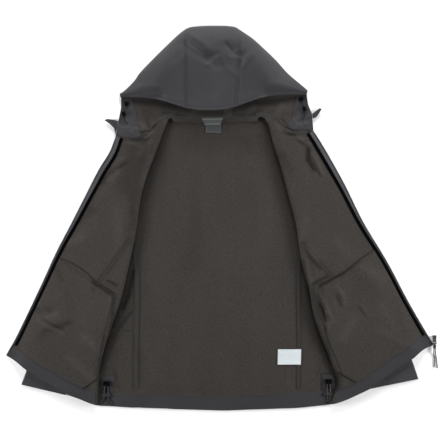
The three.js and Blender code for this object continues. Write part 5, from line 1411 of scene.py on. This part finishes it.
for side, ((ex, ey), (lx, ly), route) in HOOD_UNITS.items():
    seat = route[0][2] - 2.1
    ring = rod("hood_eyelet_ring_" + side, ex, ey, seat + 1.2, 6.0, 1.6, vertices=48)
    cut_away(ring, rod("bore", ex, ey, seat + 1.2, 2.4, 5))
    rounded(ring, 0.5, 4)
    finished(ring, black_nylon, "hardware", "hood_eyelet_" + side)
    middle = route[2]
    lock = cube("hood_lock_body_" + side, lx, ly, middle[2] - 2.3, HOOD_LOCK, LOCK_TURN)
    recessed(lock, 1.6, -0.5)
    rounded(lock, 0.8)
    cut_away(lock, *[cube("rib", lx - math.sin(LOCK_TURN) * d, ly + math.cos(LOCK_TURN) * d, middle[2] + 3.9,
                          (7, 0.9, 1.4), LOCK_TURN) for d in (-2.6, 0, 2.6)])
    aim = Vector(np.subtract(route[3], route[1])).to_track_quat("Z", "Y").to_euler()
    cut_away(lock, rod("tunnel", *middle, 1.6, 20, aim))
    finished(lock, black_nylon, "hardware", "hood_lock_" + side)

# Zip slider and its pull. Both are die-cast zinc with a dark plating that has worn bright at the
# edges; the tab swings on the pin that joins the slider's two ears, and holds the cord's two ends.
SLIDER_AT = (531.5, -299)
SLIDER_BODY = (10, 16, 8)
SLIDER_TAPER = 0.74
SLIDER_CUTS = {"groove": (0, 2.8, (14, 11, 1.5)), "waist": (1, 6.9, (2.2, 9, 3)),
               "nose": (7.5, 2.2, (1.4, 6, 4.4))}
PIN_AT = (531.5, -310.6, 6.2)


def joined(piece, *others):
    """Makes other solids part of a piece."""
    choose(piece)
    for other in others:
        other.select_set(True)
    bpy.ops.object.join()


metal, metal_tree, metal_shader, metal_at = new_finish("dark_zinc", rgb(48, 48, 51), 0.42, metallic=0.7,
                                                       gloss=0.3)
worn = noise(metal_tree, metal_at.outputs["Object"], 300, 4)
metal_tree.links.new(tones(metal_tree, worn, 0.35, 0.75, rgb(30, 30, 32), rgb(92, 92, 96)),
                     metal_shader.inputs["Base Color"])
scratches = noise(metal_tree, mapped(metal_tree, metal_at.outputs["Object"], (1, 0.12, 1)), 2400, 2)
relief(metal_tree, metal_shader, scratches, 0.0001, 0.4)
sx, sy = SLIDER_AT
slider = cube("zip_slider_body", sx, sy, 0.4, SLIDER_BODY)
pick_face(slider, lambda face: -face.center.y)
bpy.ops.transform.resize(value=(SLIDER_TAPER, 1, 1))
bpy.ops.object.mode_set(mode="OBJECT")
rounded(slider, 1.3, 4)
cut_away(slider, *[cube(name, sx, sy + dy, bottom, size) for name, (dy, bottom, size) in SLIDER_CUTS.items()])
ears = [cube("ear", PIN_AT[0] + dx, sy - 6 - 3.55, 4.4, (2, 7.1, 3.6)) for dx in (-3.6, 3.6)]
for ear in ears:
    rounded(ear, 0.8)
axle = rod("axle", *PIN_AT, 1.1, 7, (0, math.pi / 2, 0))
crown = cube("crown", sx, sy + 1.5, 7.6, (3.4, 10.5, 0.7))
rounded(crown, 0.3, 2)
joined(slider, *ears, axle, crown)
finished(slider, metal, "slider", "zip_slider")
px, py, pz = PIN_AT
barrel = rod("zip_pull_tab", px, py, pz, 2.2, 4, (0, math.pi / 2, 0))
cut_away(barrel, rod("bore", px, py, pz, 1.4, 9, (0, math.pi / 2, 0)))
neck = cube("neck", px, py - 3.7, pz - 1, (4, 4, 2))
rounded(neck, 0.4, 2)
plate = cube("plate", px, py - 8.4, pz - 1, (7.5, 10, 2))
recessed(plate, 1.3, 0.45)
rounded(plate, 0.6)
joined(barrel, neck, plate)
finished(barrel, metal, "slider", "zip_pull", body="pull")
